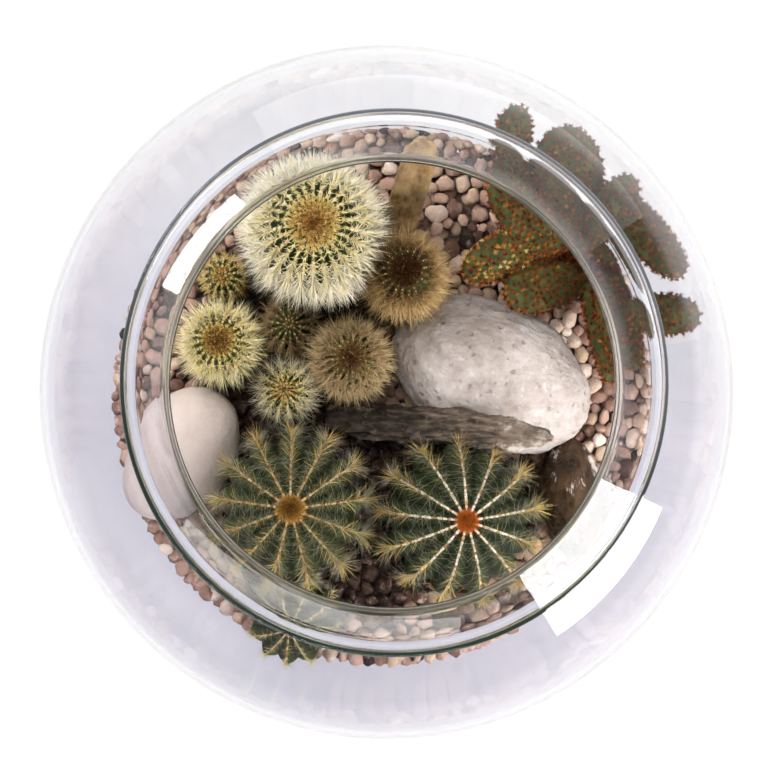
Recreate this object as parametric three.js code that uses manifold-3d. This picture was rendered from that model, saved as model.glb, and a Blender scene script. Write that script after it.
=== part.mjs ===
// A round glass bowl with a flared neck, planted with cacti among stones and gravel.
// Millimetres, +Z up. The origin is on the table, under the centre of the bowl.
import * as THREE from 'three';
import { mergeVertices } from 'three/addons/utils/BufferGeometryUtils.js';
import Module from 'manifold-3d';

const wasm = await Module();
wasm.setup();

const clearance = 0.4; // air between a piece and the piece that it touches

const bowl = {
  sides: 36,
  radius: 150, // at the belly
  equator: 112, // height of the belly
  foot: 80, // radius where the lower curve would meet the table
  wall: 4,
  floor: 6,
  throat: 89.5, // outside radius of the throat
  throatHeight: 209,
  collarWall: 3.4,
  lip: 105,
  height: 235,
  bead: 2.4, // radius of the rounded lip
};

const bed = {
  drainTop: 15,
  soilTop: 30,
  gravelEdge: 40, // gravel height at the glass
  gravelRise: 5, // how much higher the middle lies
  pebble: 15, // pitch of the pebble relief
  pebbleHeight: 3.4,
  stray: 4, // how far pebbles stray from an even pattern
};

// Globular and columnar cacti: place, crown height, body radius, neck radius in the soil,
// bulge (0 is a globe, 1 a column), ribs, rib depth, rows of areoles and spine length. A plant that
// leans has its foot away from under its crown by lean.
const cacti = [
  { name: 'cactus_large_cream', x: -32, y: 71.5, top: 132, radius: 25, neck: 18, bulge: 0.75,
    ribs: 12, depth: 0.09, rows: 8, spine: 10, seed: 11, colour: 0xb9b27a },
  { name: 'cactus_cream_left', x: -74, y: 22.7, top: 103, radius: 13.6, neck: 10, bulge: 0.7,
    ribs: 9, depth: 0.1, rows: 7, spine: 7.5, seed: 12, colour: 0xb7a87c },
  { name: 'cactus_cream_middle', x: -15.8, y: 15.3, top: 104, radius: 13.6, neck: 10, bulge: 0.7,
    ribs: 9, depth: 0.1, rows: 7, spine: 7.5, seed: 13, colour: 0xa89a5c },
  { name: 'cactus_brown', x: 8, y: 53, top: 113, radius: 13.6, neck: 10, bulge: 0.75,
    ribs: 9, depth: 0.1, rows: 7, spine: 8, seed: 14, colour: 0x8e6a3a },
  { name: 'cactus_small_green', x: -73, y: 53, top: 84, radius: 8.2, neck: 6, bulge: 0.6,
    ribs: 6, depth: 0.12, rows: 6, spine: 4, seed: 15, colour: 0x77803f },
  { name: 'cactus_small_hidden', x: -43, y: 31, top: 80, radius: 8.4, neck: 6, bulge: 0.6,
    ribs: 6, depth: 0.12, rows: 6, spine: 5, seed: 16, colour: 0x6c7046 },
  { name: 'cactus_small_white', x: -45, y: 1.8, top: 84, radius: 9.4, neck: 7, bulge: 0.6,
    ribs: 6, depth: 0.12, rows: 6, spine: 5, seed: 17, colour: 0x8b9170 },
  { name: 'cactus_ribbed_left', x: -42, y: -51, top: 104, radius: 32.5, neck: 21, bulge: 0.15,
    ribs: 13, depth: 0.2, rows: 8, spine: 8, seed: 18, colour: 0x5c7350 },
  { name: 'cactus_ribbed_right', x: 35.5, y: -56.5, top: 100, radius: 32.5, neck: 21, bulge: 0.15,
    ribs: 13, depth: 0.2, rows: 8, spine: 8, seed: 19, colour: 0x55705a },
  { name: 'cactus_pup', x: -43, y: -106.5, top: 70, radius: 17.5, neck: 10, bulge: 0.1,
    ribs: 11, depth: 0.16, rows: 6, spine: 5, seed: 20, colour: 0x5f7448, foot: 33, lean: [7, 17] },
];

// Rounded stones: centre, half sizes, turn about Z and tilt of the long axis, in degrees.
const boulders = [
  { name: 'stone_white', at: [49.5, 10.2, 58], half: [47.8, 32.5, 23], turn: -26, tilt: 3, rough: 0.05,
    seed: 31, colour: 0xcfc6bb },
  { name: 'stone_beige', at: [-93, -27, 57], half: [34, 23.5, 19], turn: 58, tilt: 0, rough: 0.05,
    seed: 32, colour: 0xcdbfae },
  { name: 'stone_brown', at: [87, -48, 51], half: [27, 15, 17], turn: 97, tilt: 0, rough: 0.1,
    seed: 33, colour: 0x54463a },
];

// Flat stones: middle of each end, width, thickness and how much the far end narrows.
const slabs = [
  { name: 'stone_slate', from: [-27, -9.5, 51], to: [74.5, -20, 93], width: 17, thick: 7, taper: 0.4,
    roll: 14, seed: 41, colour: 0x54493f },
  { name: 'stone_tan', from: [6, 76, 33], to: [16.5, 108, 118], width: 16.5, thick: 6, taper: 0.1,
    roll: 10, seed: 42, colour: 0x8e7c5e },
];

// How far a spine stays from what is around its plant.
const spineRoom = { gravel: 2.5, glass: 1.5, stone: 1.5, slab: 2, plant: 0.8 };

// Pads of the branching cactus, each from its joint to its tip: width, thickness and the
// direction that its flat side faces.
const padCactus = {
  name: 'cactus_pads',
  colour: 0x56633a,
  around: 12,
  tuft: 1.1, // height of a bristle tuft
  root: { x: 92, y: 62, top: 50, neck: 5.5, foot: 26, lean: [-11, -8] },
  pads: [
    { from: [92, 62, 43], to: [91, 66, 94], width: 30, thick: 10, facing: [0.5, 0.8, 0] },
    { from: [88, 76, 78], to: [34, 54, 92], width: 26, thick: 12, facing: [0.2, -0.75, 0.6] },
    { from: [96, 54, 64], to: [54, 48, 86], width: 21, thick: 9, facing: [0.1, -0.3, 0.9] },
    { from: [84, 67, 82], to: [47, 100, 116], width: 33, thick: 8, facing: [0.5, -0.3, 0.8] },
    { from: [54, 95, 109], to: [54, 121, 135], width: 16, thick: 7, facing: [0.3, -0.6, 0.7] },
    { from: [87, 70, 88], to: [74, 113, 128], width: 30, thick: 8, facing: [0.1, -0.6, 0.75] },
    { from: [92, 66, 88], to: [106, 94, 116], width: 19, thick: 8, facing: [0.2, -0.7, 0.7] },
    { from: [99, 90, 108], to: [126, 49, 126], width: 23, thick: 8, facing: [0.35, 0.5, 0.8] },
    { from: [98, 62, 74], to: [108, 10, 98], width: 19, thick: 9, facing: [0.45, 0.3, 0.75] },
    { from: [92, 62, 60], to: [101, 5, 79], width: 18, thick: 8, facing: [0.9, 0.15, 0.3] },
    { from: [103, 36, 89], to: [139, 34, 103], width: 17.5, thick: 8, facing: [-0.2, -0.3, 0.9] },
  ],
};

const up = new THREE.Vector3(0, 0, 1);
const rad = THREE.MathUtils.degToRad;
const group = new THREE.Group();

function randomFrom(seed) {
  let state = seed >>> 0;
  return () => {
    state = (state + 0x6d2b79f5) >>> 0;
    let mixed = Math.imul(state ^ (state >>> 15), state | 1);
    mixed ^= mixed + Math.imul(mixed ^ (mixed >>> 7), mixed | 61);
    return ((mixed ^ (mixed >>> 14)) >>> 0) / 4294967296;
  };
}

function addPiece(name, geometry, colour, roughness = 0.9, extra = {}) {
  const material = new THREE.MeshStandardMaterial({ color: colour, roughness, metalness: 0, ...extra });
  const mesh = new THREE.Mesh(geometry, material);
  mesh.name = name;
  group.add(mesh);
}

function asSolid(geometry) {
  const bare = geometry.clone();
  bare.deleteAttribute('normal');
  bare.deleteAttribute('uv');
  const merged = mergeVertices(bare, 1e-4);
  const corners = [];
  const index = merged.index.array;
  for (let i = 0; i < index.length; i += 3) {
    const [a, b, c] = [index[i], index[i + 1], index[i + 2]];
    if (a !== b && b !== c && c !== a) corners.push(a, b, c);
  }
  return new wasm.Manifold(new wasm.Mesh({
    numProp: 3,
    vertProperties: new Float32Array(merged.attributes.position.array),
    triVerts: new Uint32Array(corners),
  }));
}

function asGeometry(solid) {
  const mesh = solid.getMesh();
  const geometry = new THREE.BufferGeometry();
  geometry.setAttribute('position', new THREE.BufferAttribute(new Float32Array(mesh.vertProperties), 3));
  geometry.setIndex(new THREE.BufferAttribute(new Uint32Array(mesh.triVerts), 1));
  return geometry;
}

function fromPoints(points, faces) {
  const geometry = new THREE.BufferGeometry().setFromPoints(points);
  geometry.setIndex(faces.flat());
  return geometry;
}

// Turned pieces: a profile of [radius, height] points, from the axis out and back to it.
function turned(profile, sides = bowl.sides) {
  const points = profile.map(([radius, height]) => new THREE.Vector2(radius, height));
  return new THREE.LatheGeometry(points, sides).rotateX(Math.PI / 2);
}

// The bowl's belly is two half ellipses that meet at the equator.
const lowerHalf = bowl.equator / Math.sqrt(1 - (bowl.foot / bowl.radius) ** 2);
const upperHalf = (bowl.throatHeight - 3 - bowl.equator) / Math.sqrt(1 - (bowl.throat / bowl.radius) ** 2);

function wallRadius(height, inset = 0) {
  const half = (height < bowl.equator ? lowerHalf : upperHalf) - inset;
  const rise = (height - bowl.equator) / half;
  return (bowl.radius - inset) * Math.sqrt(Math.max(0, 1 - rise * rise));
}

// The inside of the belly, from the middle of the floor up to the throat.
const bellyHeights = [26, 50, 80, bowl.equator, 138, 162, 182, 197];
const insideProfile = [
  [0, bowl.floor],
  [wallRadius(bowl.floor, bowl.wall) - 6, bowl.floor],
  [wallRadius(bowl.floor + 3, bowl.wall) - 1.5, bowl.floor + 3],
  ...bellyHeights.map((z) => [wallRadius(z, bowl.wall), z]),
];

function addBowl() {
  const { foot, throat, throatHeight, collarWall, lip, height, bead } = bowl;
  const beadAt = new THREE.Vector2(lip - bead, height - bead);
  const collar = new THREE.QuadraticBezierCurve(
    new THREE.Vector2(throat - collarWall / 2, throatHeight),
    new THREE.Vector2(throat - collarWall / 2 + 0.6, throatHeight + 15),
    beadAt,
  );
  const collarPoint = (t, side) => {
    const point = collar.getPoint(t);
    const along = collar.getTangent(t);
    return [point.x + (side * along.y * collarWall) / 2, point.y - (side * along.x * collarWall) / 2];
  };
  const beadPoint = (angle) => (
    [beadAt.x + bead * Math.cos(rad(angle)), beadAt.y + bead * Math.sin(rad(angle))]);
  addPiece('glass_bowl', turned([
    [0, 0], [foot - 4, 0], ...[8, ...bellyHeights].map((z) => [wallRadius(z), z]),
    ...[0, 0.4, 0.75].map((t) => collarPoint(t, 1)),
    ...[-30, 30, 90, 150].map(beadPoint),
    ...[0.75, 0.4, 0].map((t) => collarPoint(t, -1)),
    ...insideProfile.toReversed(),
  ]), 0xdfe6e4, 0.03, { transparent: true, opacity: 0.3 });
}

// The bed: drainage gravel, soil and top gravel, each filling the bowl's inside between two heights.
function layer(low, high) {
  const shrunk = insideProfile.map(([radius, z]) => [Math.max(0, radius - 2 * clearance), z + clearance / 2]);
  const cavity = asSolid(turned([...shrunk, [0, shrunk.at(-1)[1]]]));
  const reach = bowl.radius;
  return cavity.intersect(asSolid(turned([[0, low], [reach, low], [reach, high], [0, high]])));
}

function gravelHeight(x, y) {
  const out = (x * x + y * y) / wallRadius(bed.gravelEdge, bowl.wall) ** 2;
  return bed.gravelEdge + bed.gravelRise * Math.max(0, 1 - out);
}

// Pebbles as relief: six-sided cells, each rising to its own off-centre top.
function pebbleRelief() {
  const random = randomFrom(7);
  const reach = bowl.radius;
  const points = [];
  const tops = [];
  const corners = new Map();
  const pitch = bed.pebble;
  const cornerAt = (x, y) => {
    const key = `${Math.round(x * 10)},${Math.round(y * 10)}`;
    if (!corners.has(key)) {
      const px = x + (random() - 0.5) * bed.stray;
      const py = y + (random() - 0.5) * bed.stray;
      corners.set(key, points.push(new THREE.Vector3(px, py, gravelHeight(px, py) - random())) - 1);
    }
    return corners.get(key);
  };
  const count = Math.ceil(reach / pitch) + 1;
  for (let row = -count; row <= count; row += 1) {
    for (let column = -count; column <= count; column += 1) {
      const x = pitch * (column + (Math.abs(row) % 2) / 2);
      const y = pitch * row * Math.sin(rad(60));
      if (Math.hypot(x, y) > reach) continue;
      const ring = [];
      for (let side = 0; side < 6; side += 1) {
        const angle = rad(30 + 60 * side);
        const across = pitch / Math.sqrt(3);
        ring.push(cornerAt(x + across * Math.cos(angle), y + across * Math.sin(angle)));
      }
      const px = x + (random() - 0.5) * bed.stray;
      const py = y + (random() - 0.5) * bed.stray;
      const rise = bed.pebbleHeight * (0.6 + 0.6 * random());
      const top = points.push(new THREE.Vector3(px, py, gravelHeight(px, py) + rise)) - 1;
      ring.forEach((corner, side) => tops.push([corner, ring[(side + 1) % 6], top]));
    }
  }
  // Close the sheet with a flat underside and walls along its free edges.
  const under = points.length;
  const floorPoints = points.map((point) => new THREE.Vector3(point.x, point.y, bed.soilTop));
  const edges = new Set(tops.flatMap(([a, b, c]) => [`${a},${b}`, `${b},${c}`, `${c},${a}`]));
  const faces = tops.concat(tops.map(([a, b, c]) => [c + under, b + under, a + under]));
  for (const edge of edges) {
    const [a, b] = edge.split(',').map(Number);
    if (edges.has(`${b},${a}`)) continue;
    faces.push([a, a + under, b + under], [a, b + under, b]);
  }
  return asSolid(fromPoints(points.concat(floorPoints), faces));
}

// Stones are seeded, dented ellipsoids.
function boulderGeometry(stone, grow = 0) {
  const random = randomFrom(stone.seed);
  const waves = Array.from({ length: 6 }, () => ({
    way: new THREE.Vector3(random() - 0.5, random() - 0.5, random() - 0.5).normalize(),
    phase: random() * Math.PI * 2,
    pitch: 2 + random() * 3,
  }));
  const geometry = new THREE.IcosahedronGeometry(1, 3);
  const spot = new THREE.Vector3();
  const half = new THREE.Vector3(...stone.half).addScalar(grow);
  const position = geometry.attributes.position;
  for (let i = 0; i < position.count; i += 1) {
    spot.fromBufferAttribute(position, i);
    const dent = waves.reduce((sum, wave) => sum + Math.sin(wave.pitch * spot.dot(wave.way) + wave.phase), 0);
    spot.multiplyScalar(1 + (stone.rough * dent) / waves.length).multiply(half);
    position.setXYZ(i, spot.x, spot.y, spot.z);
  }
  geometry.rotateY(rad(stone.tilt)).rotateZ(rad(stone.turn)).translate(...stone.at);
  return geometry;
}

// Slabs are boxes along their length, narrowed and chipped by a seeded draw.
function slabGeometry(slab, grow = 0) {
  const random = randomFrom(slab.seed);
  const from = new THREE.Vector3(...slab.from);
  const to = new THREE.Vector3(...slab.to);
  const along = to.clone().sub(from);
  const length = along.length();
  along.normalize();
  const steps = 9;
  const geometry = mergeVertices(bareBox(length, slab.width, slab.thick, steps));
  const position = geometry.attributes.position;
  const across = new THREE.Vector3().crossVectors(up, along).normalize();
  const out = new THREE.Vector3().crossVectors(along, across).normalize();
  across.applyAxisAngle(along, rad(slab.roll));
  out.applyAxisAngle(along, rad(slab.roll));
  for (let i = 0; i < position.count; i += 1) {
    const s = position.getX(i) / length + 0.5;
    const near = Math.min(1, 0.55 + s * 3.5, 0.45 + (1 - s) * 4);
    const width = near * (1 - slab.taper * s * s) * (0.92 + 0.16 * random());
    const height = near * (1 - 0.3 * slab.taper * s) * (0.85 + 0.3 * random());
    const spot = from.clone().addScaledVector(along, s * length);
    if (s === 0 || s === 1) spot.addScaledVector(along, Math.sign(s - 0.5) * grow);
    spot.addScaledVector(across, position.getY(i) * width + Math.sign(position.getY(i)) * grow);
    spot.addScaledVector(out, position.getZ(i) * height + Math.sign(position.getZ(i)) * grow);
    position.setXYZ(i, spot.x, spot.y, spot.z);
  }
  return geometry;
}

function bareBox(length, width, thick, steps) {
  const box = new THREE.BoxGeometry(length, width, thick, steps, 2, 1);
  box.deleteAttribute('normal');
  box.deleteAttribute('uv');
  return box;
}

const footOf = (plant) => plant.foot ?? bed.drainTop + 4;

// Where a plant's axis passes at a height.
function axisAt(plant, z) {
  const [dx, dy] = plant.lean ?? [0, 0];
  const down = (plant.top - z) / (plant.top - footOf(plant));
  return [plant.x + dx * down, plant.y + dy * down];
}

// Moves an upright geometry sideways, height by height, onto a plant's axis.
function leaned(plant, geometry) {
  const position = geometry.attributes.position;
  for (let i = 0; i < position.count; i += 1) {
    const [x, y] = axisAt(plant, position.getZ(i));
    position.setXY(i, position.getX(i) + x, position.getY(i) + y);
  }
  return geometry;
}

// A cactus body's outline, from its neck at the gravel up to the crown.
function bodyCurve(plant) {
  const ground = gravelHeight(plant.x, plant.y) + 5;
  const height = plant.top - ground;
  const belly = (plant.radius - 0.125 * plant.neck) / 0.75;
  return new THREE.CubicBezierCurve(
    new THREE.Vector2(plant.neck, ground),
    new THREE.Vector2(belly, ground + height * 0.5 * plant.bulge),
    new THREE.Vector2(belly, plant.top),
    new THREE.Vector2(0, plant.top),
  );
}

// How far a point lies outside a plant's body, taken as an upright rounded column.
function distanceToPlant(plant, point) {
  const middle = Math.min(point.z, plant.top - plant.radius);
  const [x, y] = axisAt(plant, middle);
  return Math.hypot(point.x - x, point.y - y, point.z - middle) - plant.radius;
}

function distanceToBoulder(stone, point) {
  const local = point.clone().sub(new THREE.Vector3(...stone.at));
  local.applyAxisAngle(up, -rad(stone.turn));
  const half = new THREE.Vector3(...stone.half);
  return (local.divide(half).length() - 1) * Math.min(half.x, half.y, half.z);
}

function distanceToSegment(from, to, point) {
  const line = new THREE.Line3(new THREE.Vector3(...from), new THREE.Vector3(...to));
  return line.closestPointToPoint(point, true, new THREE.Vector3()).distanceTo(point);
}

// A spine keeps to its own plant's share of the space between the pieces.
function hasRoom(plant, point) {
  if (point.z < gravelHeight(point.x, point.y) + bed.pebbleHeight + spineRoom.gravel) return false;
  if (Math.hypot(point.x, point.y) > wallRadius(point.z, bowl.wall) - spineRoom.glass) return false;
  const own = Math.max(0, distanceToPlant(plant, point));
  if (cacti.some((other) => other !== plant && distanceToPlant(other, point) < own + spineRoom.plant)) {
    return false;
  }
  if (boulders.some((stone) => distanceToBoulder(stone, point) < spineRoom.stone)) return false;
  return slabs.every((slab) => (
    distanceToSegment(slab.from, slab.to, point) > slab.width / 2 + spineRoom.slab));
}

// Body and spines in one skin: a net of crest and furrow lines, with spines drawn out of its cells.
function cactusGeometry(plant) {
  const random = randomFrom(plant.seed);
  const columns = plant.ribs * 2;
  const curve = bodyCurve(plant);
  const foot = footOf(plant);
  const outline = [[plant.neck * 0.7, foot + 1.5, 0], [plant.neck, foot + 7, 0]];
  for (let row = 0; row < plant.rows; row += 1) {
    const t = row / (plant.rows - 0.35);
    const spot = curve.getPoint(t);
    outline.push([spot.x, spot.y, Math.min(1, 3 * t) * plant.depth]);
  }
  const points = [];
  const faces = [];
  for (const [radius, z, depth] of outline) {
    const [x, y] = axisAt(plant, z);
    for (let column = 0; column < columns; column += 1) {
      const angle = (column / columns) * 2 * Math.PI + plant.seed;
      const reach = radius * (1 - (column % 2) * depth);
      points.push(new THREE.Vector3(x + reach * Math.cos(angle), y + reach * Math.sin(angle), z));
    }
  }
  const bottom = points.push(new THREE.Vector3(...axisAt(plant, foot), foot)) - 1;
  const crown = points.push(new THREE.Vector3(plant.x, plant.y, plant.top - 0.02 * plant.radius)) - 1;
  const last = (outline.length - 1) * columns;
  for (let column = 0; column < columns; column += 1) {
    const next = (column + 1) % columns;
    faces.push([bottom, next, column], [crown, last + column, last + next]);
  }
  for (let row = 0; row < outline.length - 1; row += 1) {
    for (let column = 0; column < columns; column += 1) {
      const next = (column + 1) % columns;
      const corners = [row * columns + column, row * columns + next,
        (row + 1) * columns + next, (row + 1) * columns + column];
      const spined = row > 1 && (row + column) % 2 === 0;
      if (!spined || !growSpine(plant, random, points, faces, corners)) {
        faces.push([corners[0], corners[1], corners[2]], [corners[0], corners[2], corners[3]]);
      }
    }
  }
  return fromPoints(points, faces);
}

// Draws a three-sided spine out of a four-cornered cell. Says no where there is no room for it.
function growSpine(plant, random, points, faces, corners) {
  const [a, b, c, d] = corners;
  const [pa, pb, pc, pd] = corners.map((corner) => points[corner]);
  const middle = new THREE.Vector3().add(pa).add(pb).add(pc).add(pd).divideScalar(4);
  const normal = new THREE.Vector3().crossVectors(pc.clone().sub(pa), pd.clone().sub(pb)).normalize();
  const side = pb.clone().add(pc).sub(pa).sub(pd).divideScalar(2);
  const rise = pc.clone().add(pd).sub(pa).sub(pb).divideScalar(2);
  const base = Math.min(0.75, side.length() * 0.28, rise.length() * 0.28);
  if (base < 0.45) return false;
  const way = normal.clone().addScaledVector(side.clone().normalize(), (random() - 0.5) * 0.5);
  way.addScaledVector(rise.clone().normalize(), 0.25 + (random() - 0.5) * 0.5).normalize();
  const length = plant.spine * (0.85 + 0.3 * random());
  const share = [1, 0.75, 0.5].find((part) => (
    hasRoom(plant, middle.clone().addScaledVector(way, length * part))
    && hasRoom(plant, middle.clone().addScaledVector(way, length * part * 0.6))));
  if (!share) return false;
  side.normalize();
  rise.normalize();
  const p = points.push(middle.clone().addScaledVector(side, -base).addScaledVector(rise, -base * 0.6)) - 1;
  const q = points.push(middle.clone().addScaledVector(side, base).addScaledVector(rise, -base * 0.6)) - 1;
  const r = points.push(middle.clone().addScaledVector(rise, base)) - 1;
  const tip = points.push(middle.clone().addScaledVector(way, length * share)) - 1;
  faces.push([a, b, q], [a, q, p], [b, c, r], [b, r, q], [c, d, r], [d, a, p], [d, p, r]);
  faces.push([p, q, tip], [q, r, tip], [r, p, tip]);
  return true;
}

// A pad is an egg-shaped disc. Its net rises to a bristle tuft at every other knot.
function padGeometry(pad) {
  const from = new THREE.Vector3(...pad.from);
  const to = new THREE.Vector3(...pad.to);
  const along = to.clone().sub(from);
  const half = along.length() / 2;
  along.normalize();
  const facing = new THREE.Vector3(...pad.facing);
  facing.addScaledVector(along, -facing.dot(along)).normalize();
  const across = new THREE.Vector3().crossVectors(facing, along);
  const middle = from.clone().lerp(to, 0.5);
  const around = padCactus.around;
  const points = [];
  const faces = [];
  const rings = [[0.97, -0.3], [0.97, 0.3], [0.78, 0.78], [0.4, 0.97]];
  const levels = [...rings.map(([reach, lift]) => [reach, -lift]).reverse().slice(0, 2), [0.97, 0],
    ...rings.slice(2)];
  levels.forEach(([reach, lift], ring) => {
    for (let step = 0; step < around; step += 1) {
      const angle = ((step + (ring % 2) / 2) / around) * 2 * Math.PI;
      const tuft = (step + ring) % 2 ? padCactus.tuft : 0;
      const s = Math.cos(angle) * reach;
      const egg = 1 + 0.22 * s;
      const spot = middle.clone().addScaledVector(along, s * (half + tuft * 0.7));
      spot.addScaledVector(across, Math.sin(angle) * reach * egg * (pad.width / 2 + tuft * 0.7));
      spot.addScaledVector(facing, lift * (pad.thick / 2) + Math.sign(lift) * tuft);
      points.push(spot);
    }
  });
  const under = points.push(middle.clone().addScaledVector(facing, -pad.thick / 2)) - 1;
  const over = points.push(middle.clone().addScaledVector(facing, pad.thick / 2)) - 1;
  const last = (levels.length - 1) * around;
  for (let step = 0; step < around; step += 1) {
    const next = (step + 1) % around;
    faces.push([under, next, step], [over, last + step, last + next]);
    for (let ring = 0; ring < levels.length - 1; ring += 1) {
      const [a, b, c, d] = [ring * around + step, ring * around + next,
        (ring + 1) * around + next, (ring + 1) * around + step];
      if (ring % 2) faces.push([a, b, c], [a, c, d]);
      else faces.push([a, b, d], [b, c, d]);
    }
  }
  return fromPoints(points, faces);
}

function padCactusSolid() {
  const { root, pads } = padCactus;
  const stem = turned([[0, root.foot], [root.neck, root.foot], [root.neck, root.top], [0, root.top]], 12);
  return pads.reduce((plant, pad) => plant.add(asSolid(padGeometry(pad))), asSolid(leaned(root, stem)));
}

// A plain round hole for a plant's neck, along the plant's axis.
function rootHole(plant) {
  const sides = 12;
  const reach = (plant.neck + clearance) / Math.cos(Math.PI / sides);
  const bottom = footOf(plant) - clearance;
  const open = bed.gravelEdge + 30;
  return asSolid(leaned(plant, turned([[0, bottom], [reach, bottom], [reach, open], [0, open]], sides)));
}

function addBed() {
  const holes = [...cacti, padCactus.root].map(rootHole);
  const sunkStones = [
    ...boulders.map((stone) => asSolid(boulderGeometry(stone, clearance))),
    ...slabs.map((slab) => asSolid(slabGeometry(slab, clearance))),
  ];
  const cut = (solid, tools) => tools.reduce((left, tool) => left.subtract(tool), solid);
  const soil = cut(layer(bed.drainTop + clearance, bed.soilTop), holes);
  const envelope = layer(bed.soilTop + clearance, bed.gravelEdge + bed.gravelRise + 8);
  const gravel = cut(pebbleRelief().intersect(envelope), [...holes, ...sunkStones]);
  addPiece('drainage_gravel', asGeometry(layer(bowl.floor + clearance, bed.drainTop)), 0x9b8f86);
  addPiece('soil', asGeometry(soil), 0x3c3028);
  addPiece('top_gravel', asGeometry(gravel), 0xb9a79c);
}

addBowl();
addBed();
boulders.forEach((stone) => addPiece(stone.name, boulderGeometry(stone), stone.colour));
slabs.forEach((slab) => addPiece(slab.name, slabGeometry(slab), slab.colour));
cacti.forEach((plant) => addPiece(plant.name, cactusGeometry(plant), plant.colour));
addPiece(padCactus.name, asGeometry(padCactusSolid()), padCactus.colour);

export default group;
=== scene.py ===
import bmesh
import bpy
import math
import numpy as np
from mathutils import Matrix, Vector, noise
from mathutils.kdtree import KDTree


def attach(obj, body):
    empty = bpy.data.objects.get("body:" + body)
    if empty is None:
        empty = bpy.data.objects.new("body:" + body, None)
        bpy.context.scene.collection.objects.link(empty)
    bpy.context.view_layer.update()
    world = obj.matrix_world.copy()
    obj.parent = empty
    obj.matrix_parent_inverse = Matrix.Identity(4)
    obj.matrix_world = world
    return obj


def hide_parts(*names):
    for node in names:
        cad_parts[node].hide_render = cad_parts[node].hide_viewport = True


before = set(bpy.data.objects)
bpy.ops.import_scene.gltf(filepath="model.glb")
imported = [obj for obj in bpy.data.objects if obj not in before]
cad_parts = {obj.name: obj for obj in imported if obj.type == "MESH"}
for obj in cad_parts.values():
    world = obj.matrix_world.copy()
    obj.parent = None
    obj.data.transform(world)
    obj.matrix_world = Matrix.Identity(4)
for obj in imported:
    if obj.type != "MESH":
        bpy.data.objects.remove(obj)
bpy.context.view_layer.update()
mm = 0.001
print("frame loaded:", len(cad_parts), "nodes")

# the bowl's and the bed's sizes in mm, as the solids have them, but with a thinner wall, a shoulder that
# turns more sharply into the throat, and gravel that stands higher along the glass
bowl = {
    "radius": 150, "equator": 112, "foot": 80, "flat": 76, "wall": 2.8, "floor": 6,
    "throat": 89.5, "throatHeight": 209, "shoulderDrop": 3, "insideCorner": (87.6, 205.6),
    "collarWall": 2.4, "lip": 105, "height": 235, "bead": 1.6, "sides": 240,
}
bed = {"drainTop": 15, "gravelEdge": 48, "gravelRise": -3, "stoneLevel": 44, "footLevel": 42}

footShare = bowl["foot"] / bowl["radius"]
throatShare = bowl["throat"] / bowl["radius"]
shoulderHeight = bowl["throatHeight"] - bowl["shoulderDrop"]
lowerHalf = bowl["equator"] / math.sqrt(1 - footShare ** 2)
upperHalf = (shoulderHeight - bowl["equator"]) / math.sqrt(1 - throatShare ** 2)


def wallRadius(height, inset=0.0):
    # the belly is two half ellipses that meet at the equator
    half = (lowerHalf if height < bowl["equator"] else upperHalf) - inset
    rise = (height - bowl["equator"]) / half
    return (bowl["radius"] - inset) * math.sqrt(max(0.0, 1 - rise * rise))


def gravelHeight(x, y):
    edge = wallRadius(bed["gravelEdge"], bowl["wall"])
    return bed["gravelEdge"] + bed["gravelRise"] * max(0.0, 1 - (x * x + y * y) / edge ** 2)


class Wire:
    # an output socket that takes part in sums
    def __init__(self, graph, socket):
        self.graph = graph
        self.socket = socket

    def calc(self, operation, *values):
        return self.graph.add(self.graph.mathNode, {"operation": operation}, dict(enumerate(values)))

    def __add__(self, other):
        return self.calc("ADD", self, other)

    def __radd__(self, other):
        return self.calc("ADD", other, self)

    def __sub__(self, other):
        return self.calc("SUBTRACT", self, other)

    def __rsub__(self, other):
        return self.calc("SUBTRACT", other, self)

    def __mul__(self, other):
        return self.calc("MULTIPLY", self, other)

    def __rmul__(self, other):
        return self.calc("MULTIPLY", other, self)

    def __gt__(self, other):
        return self.calc("GREATER_THAN", self, other)


class Graph:
    # a node tree whose nodes all come from one method
    mathNode = "ShaderNodeMath"

    def __init__(self, tree):
        self.tree = tree

    # type, settings that are set first, values or links by socket name or number, and which output is wanted
    def add(self, kind, settings=None, values=None, out=0):
        node = self.tree.nodes.new(kind)
        for key, value in (settings or {}).items():
            if key == "stops":
                self.setStops(node.color_ramp, value)
            else:
                setattr(node, key, value)
        for key, value in (values or {}).items():
            if isinstance(value, Wire):
                self.tree.links.new(value.socket, node.inputs[key])
            elif value is not None:
                node.inputs[key].default_value = value
        return Wire(self, node.outputs[out]) if len(node.outputs) else node

    def setStops(self, ramp, stops):
        while len(ramp.elements) < len(stops):
            ramp.elements.new(1.0)
        for element, (at, colour) in zip(ramp.elements, stops):
            element.position = at
            element.color = (*colour, 1)


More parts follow.
